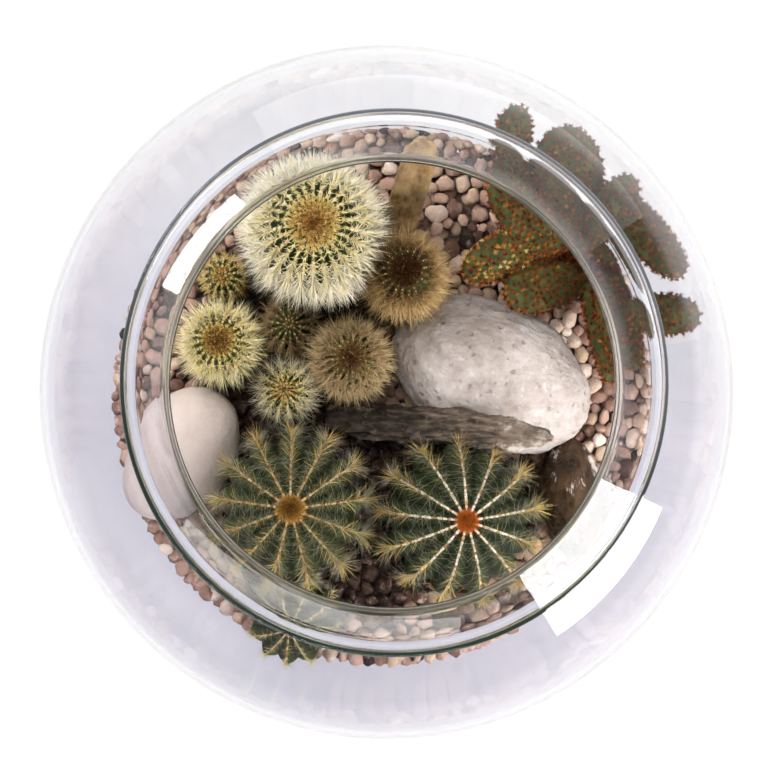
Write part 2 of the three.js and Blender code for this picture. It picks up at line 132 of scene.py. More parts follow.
class Finish(Graph):
    # a material on one Principled shader, with uniform values on the shader's own sockets
    def __init__(self, name, **uniform):
        self.material = bpy.data.materials.new(name)
        self.material.use_nodes = True
        super().__init__(self.material.node_tree)
        self.tree.nodes.clear()
        self.skin = self.tree.nodes.new("ShaderNodeBsdfPrincipled")
        self.output = self.tree.nodes.new("ShaderNodeOutputMaterial")
        self.tree.links.new(self.skin.outputs[0], self.output.inputs["Surface"])
        for key, value in uniform.items():
            self.skin.inputs[key.replace("_", " ")].default_value = value

    def attribute(self, name):
        # a number that is stored on the piece's points
        return self.add("ShaderNodeAttribute", {"attribute_name": name}, out=2)

    def place(self, scale=(1, 1, 1), turn=(0, 0, 0)):
        # object coordinates
        spot = self.add("ShaderNodeTexCoord", out=3)
        return self.add("ShaderNodeMapping", None, {"Vector": spot, "Rotation": turn, "Scale": scale})

    def grain(self, scale, detail=3.0, rough=0.5, where=None):
        where = where or self.place()
        return self.add("ShaderNodeTexNoise", None, {"Vector": where, "Scale": scale, "Detail": detail,
                                                     "Roughness": rough})

    def cells(self, scale):
        return self.add("ShaderNodeTexVoronoi", None, {"Vector": self.place(), "Scale": scale})

    def level(self, value, low, high, toLow=0.0, toHigh=1.0):
        return self.add("ShaderNodeMapRange", {"interpolation_type": "SMOOTHSTEP"},
                        {"Value": value, "From Min": low, "From Max": high, "To Min": toLow,
                         "To Max": toHigh})

    def ramp(self, value, stops):
        return self.add("ShaderNodeValToRGB", {"stops": stops}, {"Fac": value})

    def blend(self, share, first, second):
        # the sockets are numbered, because each data type has its own of the same name
        first, second = [c if isinstance(c, Wire) else (*c, 1) for c in (first, second)]
        return self.add("ShaderNodeMix", {"data_type": "RGBA"}, {0: share, 6: first, 7: second}, out=2)

    def paint(self, colour=None, roughness=None, bumps=()):
        normal = None
        for height, depth in bumps:
            normal = self.add("ShaderNodeBump", None, {"Height": height, "Distance": depth, "Strength": 1.0,
                                                       "Normal": normal})
        for key, value in (("Base Color", colour), ("Roughness", roughness), ("Normal", normal)):
            if isinstance(value, Wire):
                self.tree.links.new(value.socket, self.skin.inputs[key])
            elif value is not None:
                self.skin.inputs[key].default_value = (*value, 1) if key == "Base Color" else value
        return self.material


class GrowTree(Graph):
    # a Geometry Nodes tree with named inputs
    def __init__(self, name, inputs):
        super().__init__(bpy.data.node_groups.new(name, "GeometryNodeTree"))
        self.tree.interface.new_socket("Geometry", in_out="INPUT", socket_type="NodeSocketGeometry")
        for key, kind in inputs.items():
            self.tree.interface.new_socket(key, in_out="INPUT", socket_type=kind)
        self.tree.interface.new_socket("Geometry", in_out="OUTPUT", socket_type="NodeSocketGeometry")
        self.entry = self.tree.nodes.new("NodeGroupInput")
        self.exit = self.tree.nodes.new("NodeGroupOutput")

    def given(self, name):
        return Wire(self, self.entry.outputs[name])

    def named(self, name, kind="FLOAT"):
        return self.add("GeometryNodeInputNamedAttribute", {"data_type": kind}, {"Name": name})

    def close(self, shape):
        shape = self.add("GeometryNodeRealizeInstances", None, {"Geometry": shape})
        shape = self.add("GeometryNodeSetShadeSmooth", None, {"Geometry": shape, "Shade Smooth": True})
        shape = self.add("GeometryNodeSetMaterial", None,
                         {"Geometry": shape, "Material": self.given("Material")})
        self.tree.links.new(shape.socket, self.exit.inputs[0])
        return self.tree


def addMesh(name, points, faces, material=None, values=None, smooth=True):
    mesh = bpy.data.meshes.new(name)
    mesh.from_pydata((np.asarray(points, float) * mm).tolist(), [], faces)
    mesh.update()
    for key, data in (values or {}).items():
        setValues(mesh, key, data)
    piece = bpy.data.objects.new(name, mesh)
    bpy.context.scene.collection.objects.link(piece)
    if material:
        mesh.materials.append(material)
    if smooth:
        mesh.shade_smooth()
    return piece


def setValues(mesh, name, data):
    data = np.asarray(data, np.float32)
    kind, field = ("FLOAT_VECTOR", "vector") if data.ndim == 2 else ("FLOAT", "value")
    attribute = mesh.attributes.new(name, kind, "POINT")
    attribute.data.foreach_set(field, data.ravel())


def faceOut(piece):
    shell = bmesh.new()
    shell.from_mesh(piece.data)
    bmesh.ops.remove_doubles(shell, verts=shell.verts, dist=1e-7)
    bmesh.ops.recalc_face_normals(shell, faces=shell.faces)
    shell.to_mesh(piece.data)
    shell.free()
    piece.data.shade_smooth()
    return piece


def ringPoints(out, angle, *height):
    return np.stack([out * np.cos(angle), out * np.sin(angle), *height], 1)


# closed rings of points, with a pole at each end
def gridFaces(rows, columns, firstPole, lastPole):
    faces = []
    for column in range(columns):
        after = (column + 1) % columns
        faces.append((firstPole, after, column))
        faces.append((lastPole, (rows - 1) * columns + column, (rows - 1) * columns + after))
        for row in range(rows - 1):
            faces.append((row * columns + column, row * columns + after,
                          (row + 1) * columns + after, (row + 1) * columns + column))
    return faces


def turnedMesh(name, profile, sides, material, wobble=None):
    first, *rings, last = profile
    angles = np.arange(sides) / sides * 2 * math.pi
    points = []
    for radius, z in rings:
        ring = ringPoints(radius, angles, np.full(sides, float(z)))
        points.append(ring if wobble is None else wobble(ring))
    points = np.concatenate([*points, [[0, 0, first[1]], [0, 0, last[1]]]])
    count = len(rings) * sides
    return faceOut(addMesh(name, points, gridFaces(len(rings), sides, count, count + 1), material))


def bakeModifiers(piece):
    # the finished mesh takes the place of the modifiers
    bpy.context.view_layer.update()
    graph = bpy.context.evaluated_depsgraph_get()
    finished = piece.evaluated_get(graph)
    mesh = bpy.data.meshes.new_from_object(finished, preserve_all_data_layers=True, depsgraph=graph)
    piece.modifiers.clear()
    piece.data = mesh
    return mesh


def growOn(name, tree, places, inputs, values):
    # points with their own sizes and turns, on which the tree sets its shapes, as one plain mesh
    host = addMesh(name, places, [], None, values, smooth=False)
    grower = host.modifiers.new("grow", "NODES")
    grower.node_group = tree
    for item in tree.interface.items_tree:
        if item.in_out == "INPUT" and item.name in inputs:
            grower[item.identifier] = inputs[item.name]
    grown = bakeModifiers(host)
    grown.name = name
    print(" ", name, len(grown.polygons), "faces")
    return host


# needles that stand on points along "aim", "size" long, with their own twist and tone
def needleTree():
    tree = GrowTree("needlesOnPoints", {"Material": "NodeSocketMaterial", "Thickness": "NodeSocketFloat",
                                        "Bend": "NodeSocketFloat", "Steps": "NodeSocketInt"})
    needle = tree.add("GeometryNodeMeshCone", {"fill_type": "NGON"},
                      {"Vertices": 3, "Side Segments": tree.given("Steps"), "Radius Top": 0.0,
                       "Radius Bottom": tree.given("Thickness"), "Depth": 1.0})
    spot = tree.add("GeometryNodeInputPosition")
    height = tree.add("ShaderNodeSeparateXYZ", None, {"Vector": spot}, out=2)
    needle = tree.add("GeometryNodeStoreNamedAttribute", {"data_type": "FLOAT", "domain": "POINT"},
                      {"Geometry": needle, "Name": "along", "Value": height})
    curve = tree.add("ShaderNodeCombineXYZ", None, {"Y": height * height * tree.given("Bend")})
    needle = tree.add("GeometryNodeSetPosition", None, {"Geometry": needle, "Offset": curve})
    aimed = tree.add("FunctionNodeAlignRotationToVector", {"axis": "Z"},
                     {"Vector": tree.named("aim", "FLOAT_VECTOR")})
    spin = tree.add("FunctionNodeAxisAngleToRotation", None,
                    {"Axis": (0, 0, 1), "Angle": tree.named("twist")})
    turned = tree.add("FunctionNodeRotateRotation", {"rotation_space": "LOCAL"}, {0: aimed, 1: spin})
    shape = tree.add("GeometryNodeInstanceOnPoints", None,
                     {"Points": tree.given("Geometry"), "Instance": needle, "Rotation": turned,
                      "Scale": tree.named("size", "FLOAT_VECTOR")})
    return tree.close(shape)


# pebbles of several forms on points, each with its own half sizes, turn and tone
def pebbleTree(forms=6):
    tree = GrowTree("pebblesOnPoints", {"Material": "NodeSocketMaterial", "Roughness": "NodeSocketFloat",
                                        "Detail": "NodeSocketInt"})
    joined = tree.tree.nodes.new("GeometryNodeJoinGeometry")
    for form in range(forms):
        ball = tree.add("GeometryNodeMeshIcoSphere", None,
                        {"Radius": 1.0, "Subdivisions": tree.given("Detail")})
        spot = tree.add("GeometryNodeInputPosition")
        shifted = tree.add("ShaderNodeVectorMath", {"operation": "ADD"},
                           {0: spot, 1: (form * 7.3, form * 3.1, 0)})
        dent = tree.add("ShaderNodeTexNoise", None, {"Vector": shifted, "Scale": 1.3, "Detail": 2.0})
        reach = (dent - 0.5) * tree.given("Roughness")
        offset = tree.add("ShaderNodeVectorMath", {"operation": "SCALE"}, {0: spot, "Scale": reach})
        ball = tree.add("GeometryNodeSetPosition", None, {"Geometry": ball, "Offset": offset})
        ball = tree.add("GeometryNodeGeometryToInstance", None, {"Geometry": ball})
        tree.tree.links.new(ball.socket, joined.inputs[0])
    index = tree.add("FunctionNodeRandomValue", {"data_type": "INT"},
                     {"Min": 0, "Max": forms - 1, "Seed": 5}, out=2)
    pebble = tree.add("GeometryNodeInstanceOnPoints", None,
                      {"Points": tree.given("Geometry"), "Instance": Wire(tree, joined.outputs[0]),
                       "Pick Instance": True, "Instance Index": index,
                       "Rotation": tree.named("turn", "FLOAT_VECTOR"),
                       "Scale": tree.named("size", "FLOAT_VECTOR")})
    return tree.close(pebble)


needlesOnPoints = needleTree()
pebblesOnPoints = pebbleTree()


# thick is a needle's radius at its root, and bend its sideways reach, both in mm
def growNeedles(name, field, material, thick, bend=0.0, steps=1):
    count = len(field["length"])
    sizes = np.stack([np.ones(count), np.ones(count), field["length"]], 1) * mm
    return growOn(name, needlesOnPoints, field["place"],
                  {"Material": material, "Thickness": thick, "Bend": bend, "Steps": steps},
                  {"aim": field["aim"], "size": sizes, "twist": field["twist"], "tone": field["tone"]})


# roughness is how uneven the pebbles are, and detail how finely each is divided
def growPebbles(name, field, material, roughness=0.55, detail=2):
    return growOn(name, pebblesOnPoints, field["place"],
                  {"Material": material, "Roughness": roughness, "Detail": detail},
                  {"size": field["half"] * mm, "turn": field["turn"], "tone": field["tone"]})


def ownPiece(piece, slot, *nodes):
    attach(piece, "root")
    if nodes:
        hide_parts(*nodes)


def merged(fields):
    return {key: np.concatenate([field[key] for field in fields]) for key in fields[0]}


# camera, floor and sky; bright is the middle of the lit floor, and fade where it darkens, in metres
view = {
    "place": (-0.02509696, -0.03101121, 1.11114979), "forward": (0.02640169, 0.03166477, -0.99914979),
    "lens": 106.15, "floor": (0.5, 0.5, 0.505), "farFloor": (0.2, 0.2, 0.21), "glow": 0.45,
    "bright": (0.12, 0.06, 0), "fade": (0.4, 0.65), "sky": (0.95, 0.95, 1.0), "skyStrength": 0.2,
}
# place, target, width, height, power in watts, colour, and whether it lights the planting; the others only
# shine on the glass
softboxes = {
    "boxLowerRight": ((0.78, -0.63, 0.48), (0, 0, 0.1), 0.6, 0.62, 15.5, (1, 0.95, 0.88), True),
    "boxUpperLeft": ((-0.55, 0.5, 0.75), (0, 0, 0.1), 0.5, 0.5, 7.2, (1, 0.96, 0.91), True),
    "boxAbove": ((-0.2, 0.3, 1.3), (0, 0, 0.1), 0.6, 0.6, 5.8, (1, 0.96, 0.91), True),
    "shineLowerRight": ((0.352, -0.28, 0.26), (0, 0, 0.26), 0.26, 0.29, 6.2, (1, 1, 1), False),
    "shineUpperLeft": ((-0.777, 0.629, 0.555), (-0.07, 0.06, 0.2), 0.5, 0.19, 8.5, (1, 1, 1), False),
    "shineBehind": ((0.13, 0.48, 0.22), (0, 0, 0.22), 0.84, 0.44, 1.5, (1, 1, 1), False),
    "shineInFront": ((-0.2, -0.56, 0.385), (0, 0, 0.2), 0.9, 0.1, 2.2, (1, 1, 0.96), False),
}


def placeCamera():
    camera = bpy.data.objects.new("camera", bpy.data.cameras.new("camera"))
    bpy.context.scene.collection.objects.link(camera)
    forward = Vector(view["forward"]).normalized()
    above = (Vector((0, 1, 0)) - forward * forward.y).normalized()
    right = forward.cross(above)
    turn = Matrix((right, above, -forward)).transposed().to_4x4()
    camera.matrix_world = Matrix.Translation(view["place"]) @ turn
    camera.data.lens = view["lens"]
    camera.data.sensor_width = 36
    camera.data.clip_start, camera.data.clip_end = 0.01, 50
    bpy.context.scene.camera = camera


def placeLights():
    for name, (place, target, width, height, power, colour, lights) in softboxes.items():
        light = bpy.data.lights.new(name, "AREA")
        light.shape, light.size, light.size_y, light.energy = "RECTANGLE", width, height, power
        light.color = colour
        lamp = bpy.data.objects.new(name, light)
        bpy.context.scene.collection.objects.link(lamp)
        lamp.location = place
        lamp.rotation_euler = (Vector(target) - Vector(place)).to_track_quat("-Z", "Y").to_euler()
        lamp.visible_camera, lamp.visible_diffuse, lamp.visible_glossy = False, lights, not lights
        lamp.visible_transmission = False
    world = bpy.data.worlds.new("studio")
    bpy.context.scene.world = world
    world.use_nodes = True
    sky = world.node_tree.nodes["Background"]
    sky.inputs["Color"].default_value = (*view["sky"], 1)
    sky.inputs["Strength"].default_value = view["skyStrength"]


def floorFinish():
    # bright round the bowl, darker further out, so that the glass mirrors little of it
    finish = Finish("paleFloor", Roughness=0.9, Emission_Strength=view["glow"])
    away = finish.add("ShaderNodeVectorMath", {"operation": "DISTANCE"},
                      {0: finish.place(), 1: view["bright"]}, out=1)
    far = finish.level(away, *view["fade"])
    glow = finish.blend(far, (1, 1, 1), (0, 0, 0))
    finish.tree.links.new(glow.socket, finish.skin.inputs["Emission Color"])
    return finish.paint(finish.blend(far, view["floor"], view["farFloor"]))


def placeFloor():
    far, drop = 8000, -0.05
    corners = [(-far, -far, drop), (far, -far, drop), (far, far, drop), (-far, far, drop)]
    floor = addMesh("floor", corners, [(0, 1, 2, 3)], floorFinish(), smooth=False)


placeCamera()
placeLights()
placeFloor()
bpy.context.scene.view_settings.view_transform = "Standard"
# light that runs round inside the glass rim takes many bounces
bpy.context.scene.cycles.max_bounces = 18
bpy.context.scene.cycles.transmission_bounces = 18
bpy.context.scene.cycles.transparent_max_bounces = 16
# the window reflections stay white where they are seen through the collar
bpy.context.scene.cycles.sample_clamp_indirect = 40
print("camera, lights and floor are set")


# tints of the wall, with the belly paler towards the back as painted light; the painted glow of the rim and
# the neck;
# and where they change: bellySpan and rimSpan along backWay, collarFade and neckBand above and below the
# throat, all in metres
glass = {
    "belly": (0.862, 0.855, 0.92), "back": (0.96, 0.965, 0.99), "collar": (0.97, 0.975, 0.98),
    "shadowTint": (0.97, 0.97, 0.98), "index": 1.43, "depth": (0.5, 0.82, 0.72), "density": 4.0,
    "rim": (0.024, 0.038, 0.031), "rimGlowBack": (0.15, 0.16, 0.18), "neck": (0.03, 0.033, 0.028),
    "backWay": (0.25, 0.97, 0), "bellySpan": (-0.03, 0.14), "rimSpan": (-0.05, 0.06),
    "collarFade": 0.004, "neckBand": (-0.007, -0.001, 0.006),
}


def glassFinish():
    finish = Finish("clearGlass", Roughness=0.0, Transmission_Weight=1.0, IOR=glass["index"],
                    Emission_Strength=1.0)
    spot = finish.place()
    height = finish.add("ShaderNodeSeparateXYZ", None, {"Vector": spot}, out=2)
    back = finish.add("ShaderNodeVectorMath", {"operation": "DOT_PRODUCT"}, {0: spot, 1: glass["backWay"]},
                      out=1)
    throat, lip = bowl["throatHeight"] * mm, bowl["height"] * mm
    # the belly's tint turns paler towards the back: painted light
    belly = finish.blend(finish.level(back, *glass["bellySpan"]), glass["belly"], glass["back"])
    fade = glass["collarFade"]
    finish.paint(finish.blend(finish.level(height, throat - fade, throat + fade), belly, glass["collar"]))
    # painted glow: a band round the throat glows faintly, and the rim glows dark green at the front and pale
    # grey at the back
    low, full, high = [throat + step for step in glass["neckBand"]]
    neck = finish.level(height, low, full) * finish.level(height, high, throat)
    neck = finish.blend(neck, (0, 0, 0), glass["neck"])
    rim = finish.blend(finish.level(back, *glass["rimSpan"]), glass["rim"], glass["rimGlowBack"])
    rim = finish.blend(height > lip - 2 * bowl["bead"] * mm, neck, rim)
    finish.tree.links.new(rim.socket, finish.skin.inputs["Emission Color"])
    # lamp light passes the wall, so the planting inside is lit
    shadow = finish.add("ShaderNodeLightPath", out=1)
    clear = finish.add("ShaderNodeBsdfTransparent", None, {"Color": (*glass["shadowTint"], 1)})
    mixed = finish.add("ShaderNodeMixShader", None, {0: shadow, 1: Wire(finish, finish.skin.outputs[0]),
                                                     2: clear})
    finish.tree.links.new(mixed.socket, finish.output.inputs["Surface"])
    # the green that shows where light runs lengthwise through the wall
    within = finish.add("ShaderNodeVolumeAbsorption", None,
                        {"Color": (*glass["depth"], 1), "Density": glass["density"]})
    finish.tree.links.new(within.socket, finish.output.inputs["Volume"])
    return finish.material


def rounded(line, rounds=2):
    # cuts the corners of a line and keeps its ends
    line = [np.array(point, float) for point in line]
    for _ in range(rounds):
        cut = [line[0]]
        for first, second in zip(line, line[1:]):
            cut += [first * 0.75 + second * 0.25, first * 0.25 + second * 0.75]
        line = [*cut, line[-1]]
    return [tuple(point) for point in line]


def collarPoint(share, side):
    # a point on the collar's outer side (1) or inner side (-1), along a curve from throat to lip
    wall = bowl["collarWall"]
    start = np.array([bowl["throat"] - wall / 2, bowl["throatHeight"]])
    middle = start + (5.5, 14)
    end = np.array([bowl["lip"] - bowl["bead"], bowl["height"] - bowl["bead"]])
    point = (1 - share) ** 2 * start + 2 * share * (1 - share) * middle + share ** 2 * end
    along = 2 * (1 - share) * (middle - start) + 2 * share * (end - middle)
    along /= np.linalg.norm(along)
    return (point[0] + side * along[1] * wall / 2, point[1] - side * along[0] * wall / 2)


# heights of the belly's points, closer where the wall turns more
outerRows = (14, 21, 29, 38, 48, 59, 71, 83, 95, 107, 119, 131, 143, 154, 164, 173, 181, 188, 194, 199, 203,
             205.2)
innerRows = (202.4, 199, 195, 190, 184, 177, 169, 160, 150, 140, 129, 118, 107, 95, 83, 71, 59, 48, 38, 29,
             21, 14)


def bowlProfile():
    wall, floor, bead = bowl["wall"], bowl["floor"], bowl["bead"]
    outside = [(0, 0), (40, 0), (70, 0), (bowl["flat"], 0), (82, 2.2), (wallRadius(8), 8)]
    outside += [(wallRadius(z), z) for z in outerRows]
    outside += [collarPoint(share, 1) for share in (0.02, 0.2, 0.4, 0.6, 0.78)]
    lip = []
    for degrees in range(-40, 181, 20):
        angle = math.radians(degrees)
        lip.append((bowl["lip"] - bead * (1 - math.cos(angle)),
                    bowl["height"] - bead * (1 - math.sin(angle))))
    inside = [collarPoint(share, -1) for share in (0.8, 0.6, 0.4, 0.2, 0.02)]
    inside += [bowl["insideCorner"]]
    inside += [(wallRadius(z, wall), z) for z in innerRows]
    inside += [(wallRadius(9, wall) - 1.5, 9), (wallRadius(floor, wall) - 6, floor), (60, floor), (0, floor)]
    return [*rounded(outside), *lip, *rounded(inside)]


glassBowl = turnedMesh("glassBowl", bowlProfile(), bowl["sides"], glassFinish())
ownPiece(glassBowl, "clear_glass", "glass_bowl")
# the shine softboxes light the glass alone, as window reflections on it
glassOnly = bpy.data.collections.new("glassOnly")
glassOnly.objects.link(glassBowl)
for name, box in softboxes.items():
    if not box[-1]:
        bpy.data.objects[name].light_linking.receiver_collection = glassOnly
print("glass bowl:", len(glassBowl.data.polygons), "faces")


# top pebbles, a layer under them and rows along the glass; the last list holds the spots where painted shade
# darkens the gravel: x, y, radius
gravel = {
    "pebbles": 1010, "radius": (2.4, 4.4), "flat": (0.5, 0.8), "sink": 1.0, "seed": 71, "rounds": 70,
    "under": 760, "underRadius": (2.6, 4.0), "underDepth": (3.0, 4.4),
    "edgeRows": (33.2, 37.6, 42.0, 44.6, 47.4), "edgeStep": 6.0, "edgeRadius": (2.7, 3.6),
    # how far the painted shade round the plants and spots reaches, and how much of the tone it takes away
    "paintedShade": 8.0, "paintedShadeShare": 0.93,
    "paintedShadeSpots": ((-50, 0, 27), (-20, -14, 16), (-40, 30, 30), (-20, 40, 18), (-2, -30, 10), (-2, -80, 16),
               (66, -46, 13), (-58, 42, 9)),
}
# rows of drainage pebbles: height and shift along the row in half steps
drainage = {"rows": ((8.6, 0), (12.4, 1)), "step": 6.8, "seed": 72}
# the layers' lowest and highest points and their distance from the glass, then how far their sides crumble
layers = {
    "grit": {"span": (30.4, 39, 5.5), "crumbs": (1.5, 0.2), "belowGravel": 6.4},
    "soil": {"span": (15.4, 30, 0.5), "crumbs": (1.1, 0.12)},
    "drainage": {"span": (6.6, 15, 7.5), "crumbs": (1.0, 0.2)},
}

# what stands in the bed: x, y, half length, half width, turn; and the plants' x, y and radius
standing, plants = [], []


def pebbleFinish(name, stops, wet=0.0):
    finish = Finish(name, Specular_IOR_Level=0.25)
    tone = finish.attribute("tone")
    cloud = finish.grain(260, 4.0, 0.6)
    speck = finish.grain(1500, 2.0, 0.6)
    colour = finish.ramp(tone + (cloud - 0.5) * 0.35, stops)
    colour = finish.blend(finish.level(speck, 0.56, 0.7) * 0.4, colour, (0.16, 0.11, 0.09))
    colour = finish.blend(finish.level(cloud, 0.55, 0.75) * 0.35, colour, (0.72, 0.64, 0.58))
    return finish.paint(colour, finish.level(speck, 0.3, 0.7, 0.62 - wet, 0.85 - wet),
                        [(cloud, 0.0009), (speck, 0.00025)])


# the darkest stops are reached mostly where painted shade darkens the pebbles between the plants
gravelStops = [(0.0, (0.015, 0.009, 0.007)), (0.15, (0.13, 0.068, 0.048)), (0.35, (0.33, 0.2, 0.15)),
               (0.5, (0.43, 0.28, 0.22)), (0.65, (0.48, 0.35, 0.24)), (0.8, (0.57, 0.44, 0.36)),
               (1.0, (0.74, 0.63, 0.54))]
drainStops = [(0.0, (0.16, 0.14, 0.13)), (0.5, (0.36, 0.32, 0.29)), (1.0, (0.6, 0.56, 0.5))]


def pushedApart(random, radii, reach):
    # loose discs on the bed that keep off each other, the wall and what stands there
    angle = random.uniform(0, 2 * math.pi, len(radii))
    out = reach * np.sqrt(random.uniform(0, 1, len(radii)))
    places = ringPoints(out, angle)
    apart = radii[:, None] + radii[None]
    for _ in range(gravel["rounds"]):
        gap = places[:, None] - places[None]
        distance = np.hypot(gap[..., 0], gap[..., 1]) + 1e-6
        push = np.maximum(0, apart - distance) / distance
        np.fill_diagonal(push, 0)
        places += (gap * push[..., None]).sum(1) * 0.4
        for x, y, length, width, turn in standing:
            away = places - (x, y)
            u = away[:, 0] * math.cos(turn) + away[:, 1] * math.sin(turn)
            v = -away[:, 0] * math.sin(turn) + away[:, 1] * math.cos(turn)
            inside = np.hypot(u / (length + radii * 0.8), v / (width + radii * 0.8)) + 1e-6
            places += away * np.maximum(0, 1 / inside - 1)[:, None] * 0.5
        edge = np.hypot(*places.T) + 1e-6
        places *= np.minimum(1, (reach - radii) / edge)[:, None]
    return places


def pebbleField(random, places, radii, tilt):
    count = len(radii)
    long = radii * random.uniform(1.0, 1.3, count)
    wide = radii * random.uniform(0.78, 1.0, count)
    thick = wide * random.uniform(*gravel["flat"], count)
    turn = np.stack([random.normal(0, tilt, count), random.normal(0, tilt, count),
                     random.uniform(0, 6.3, count)], 1)
    return {"place": places, "half": np.stack([long, wide, thick], 1), "turn": turn,
            "tone": np.clip(random.normal(0.5, 0.24, count), 0, 1)}


goldenAngle = 2.399963


def topGravel():
    random = np.random.default_rng(gravel["seed"])
    reach = wallRadius(bed["gravelEdge"], bowl["wall"]) - 0.5
    radii = random.uniform(*gravel["radius"], gravel["pebbles"])
    flat = pushedApart(random, radii, reach)
    height = np.array([gravelHeight(x, y) for x, y in flat])
    height = height + random.uniform(-0.8, 1.0, len(flat)) - gravel["sink"]
    fields = [pebbleField(random, np.column_stack([flat, height]), radii, 0.3)]
    radii = random.uniform(*gravel["underRadius"], gravel["under"])
    angle = np.arange(len(radii)) * goldenAngle
    out = (reach - 4) * np.sqrt((np.arange(len(radii)) + 0.5) / len(radii))
    flat = ringPoints(out, angle) + random.normal(0, 1, (len(radii), 2))
    height = np.array([gravelHeight(x, y) for x, y in flat])
    height = height - gravel["sink"] - random.uniform(*gravel["underDepth"], len(radii))
    fields.append(pebbleField(random, np.column_stack([flat, height]), radii, 0.4))
    for row, z in enumerate(gravel["edgeRows"]):
        fields.append(edgeRow(random, z, row * 0.37, gravel["edgeStep"]))
    field = merged(fields)
    field["place"] = clearOfWall(field)
    # painted shade darkens the gravel round and between the plants and at the listed spots
    for x, y, radius in (*plants, *gravel["paintedShadeSpots"]):
        away = np.hypot(field["place"][:, 0] - x, field["place"][:, 1] - y) - radius
        paintedShade = np.exp(-np.maximum(0, away / gravel["paintedShade"]) ** 2)
        field["tone"] = field["tone"] * (1 - gravel["paintedShadeShare"] * paintedShade)
    return field


def edgeRow(random, z, shift, step):
    # a ring of pebbles that lean on the glass at one height
    count = int(2 * math.pi * wallRadius(z, bowl["wall"]) / step)
    angle = (np.arange(count) + shift) / count * 2 * math.pi
    radii = random.uniform(*gravel["edgeRadius"], count)
    out = wallRadius(z, bowl["wall"]) - radii * 1.1 - 0.4
    places = ringPoints(out, angle, z + random.normal(0, 0.5, count))
    return pebbleField(random, places, radii, 0.3)


def clearOfWall(field):
    # keeps each pebble's far side inside the glass at its own height
    places = field["place"].copy()
    for index, (x, y, z) in enumerate(places):
        room = min(wallRadius(z, bowl["wall"]), wallRadius(z - 2.0, bowl["wall"]))
        reach = room - 0.3 - field["half"][index, :2].max() * 1.03
        out = math.hypot(x, y)
        if out > reach:
            places[index, :2] *= reach / out
    return places


def crumbled(depth, scale):
    # wears a ring of points inwards by up to depth
    def wobble(ring):
        moved = ring.copy()
        for index, (x, y, z) in enumerate(ring):
            share = noise.fractal(Vector((x, y, z)) * scale, 0.8, 2.2, 4)
            moved[index, :2] *= 1 - depth * (0.5 + 0.5 * max(-1, min(1, share))) / math.hypot(x, y)
        return moved
    return wobble


def soilFinish():
    finish = Finish("pottingSoil")
    crumb = finish.grain(420, 6.0, 0.7)
    fleck = finish.cells(900)
    colour = finish.ramp(crumb, [(0.3, (0.012, 0.008, 0.005)), (0.55, (0.05, 0.033, 0.02)),
                                 (0.8, (0.13, 0.09, 0.06))])
    colour = finish.blend(finish.level(fleck, 0.16, 0.1) * 0.5, colour, (0.35, 0.28, 0.2))
    return finish.paint(colour, 0.95, [(crumb, 0.0025), (fleck, 0.0006)])


def layerProfile(low, high, inset, top=None):
    # an outline for a layer that fills the bowl between two heights
    rows = [low + (high - low) * k / 6 for k in range(7)]
    sides = [(wallRadius(z, bowl["wall"]) - inset, z) for z in rows]
    cap = [(sides[-1][0] * k, (top(sides[-1][0] * k) if top else high)) for k in (0.97, 0.9, 0.75, 0.55, 0.3)]
    return [(0, low), (sides[0][0] * 0.6, low), *sides, *cap, (0, top(0) if top else high)]


def addBed():
    random = np.random.default_rng(drainage["seed"])
    pebble = pebbleFinish("gravelStone", gravelStops)
    ownPiece(growPebbles("topGravel", topGravel(), pebble, roughness=1.05), "top_gravel", "top_gravel")
    grit = Finish("gravelGrit")
    sand = grit.grain(700, 4.0, 0.7)
    grit.paint(grit.ramp(sand, [(0.35, (0.06, 0.04, 0.03)), (0.7, (0.22, 0.16, 0.13))]), 0.95,
               [(sand, 0.0015)])
    below = layers["grit"]["belowGravel"]
    profile = layerProfile(*layers["grit"]["span"], lambda radius: gravelHeight(radius, 0) - below)
    gritBase = turnedMesh("gravelGrit", profile, 96, grit.material, crumbled(*layers["grit"]["crumbs"]))
    ownPiece(gritBase, "top_gravel")
    profile = layerProfile(*layers["soil"]["span"])
    soilLayer = turnedMesh("pottingSoil", profile, 160, soilFinish(), crumbled(*layers["soil"]["crumbs"]))
    ownPiece(soilLayer, "soil", "soil")
    drainFields = [edgeRow(random, z, shift * 0.5, drainage["step"]) for z, shift in drainage["rows"]]
    drain = merged(drainFields)
    drain["place"] = clearOfWall(drain)
    drainPebbles = growPebbles("drainagePebbles", drain, pebbleFinish("drainStone", drainStops, 0.15))
    ownPiece(drainPebbles, "drainage_gravel", "drainage_gravel")
    profile = layerProfile(*layers["drainage"]["span"])
    core = turnedMesh("drainageCore", profile, 96, grit.material, crumbled(*layers["drainage"]["crumbs"]))
    ownPiece(core, "drainage_gravel")


# middle and half sizes in mm, turn and tilt in degrees; level is how finely the ball is divided, and waves,
# dents and pits are its relief
stones = {
    "whiteBoulder": {
        "node": "stone_white", "slot": "white_stone", "at": (49.5, 10.2, 58), "half": (47.8, 32.5, 23),
        "turn": -26, "tilt": 3, "level": 7, "waves": 0.06, "dents": 0.034, "pits": 1.0, "seed": 3.1},
    "beigeStone": {
        "node": "stone_beige", "slot": "beige_stone", "at": (-93, -27, 57), "half": (34, 23.5, 19),
        "turn": 58, "tilt": 0, "level": 6, "waves": 0.05, "dents": 0.01, "pits": 0.2, "seed": 9.4},
    "brownStone": {
        "node": "stone_brown", "slot": "brown_stone", "at": (87, -48, 51), "half": (27, 15, 17),
        "turn": 97, "tilt": 0, "level": 6, "waves": 0.1, "dents": 0.05, "pits": 0.1, "seed": 5.7},
}
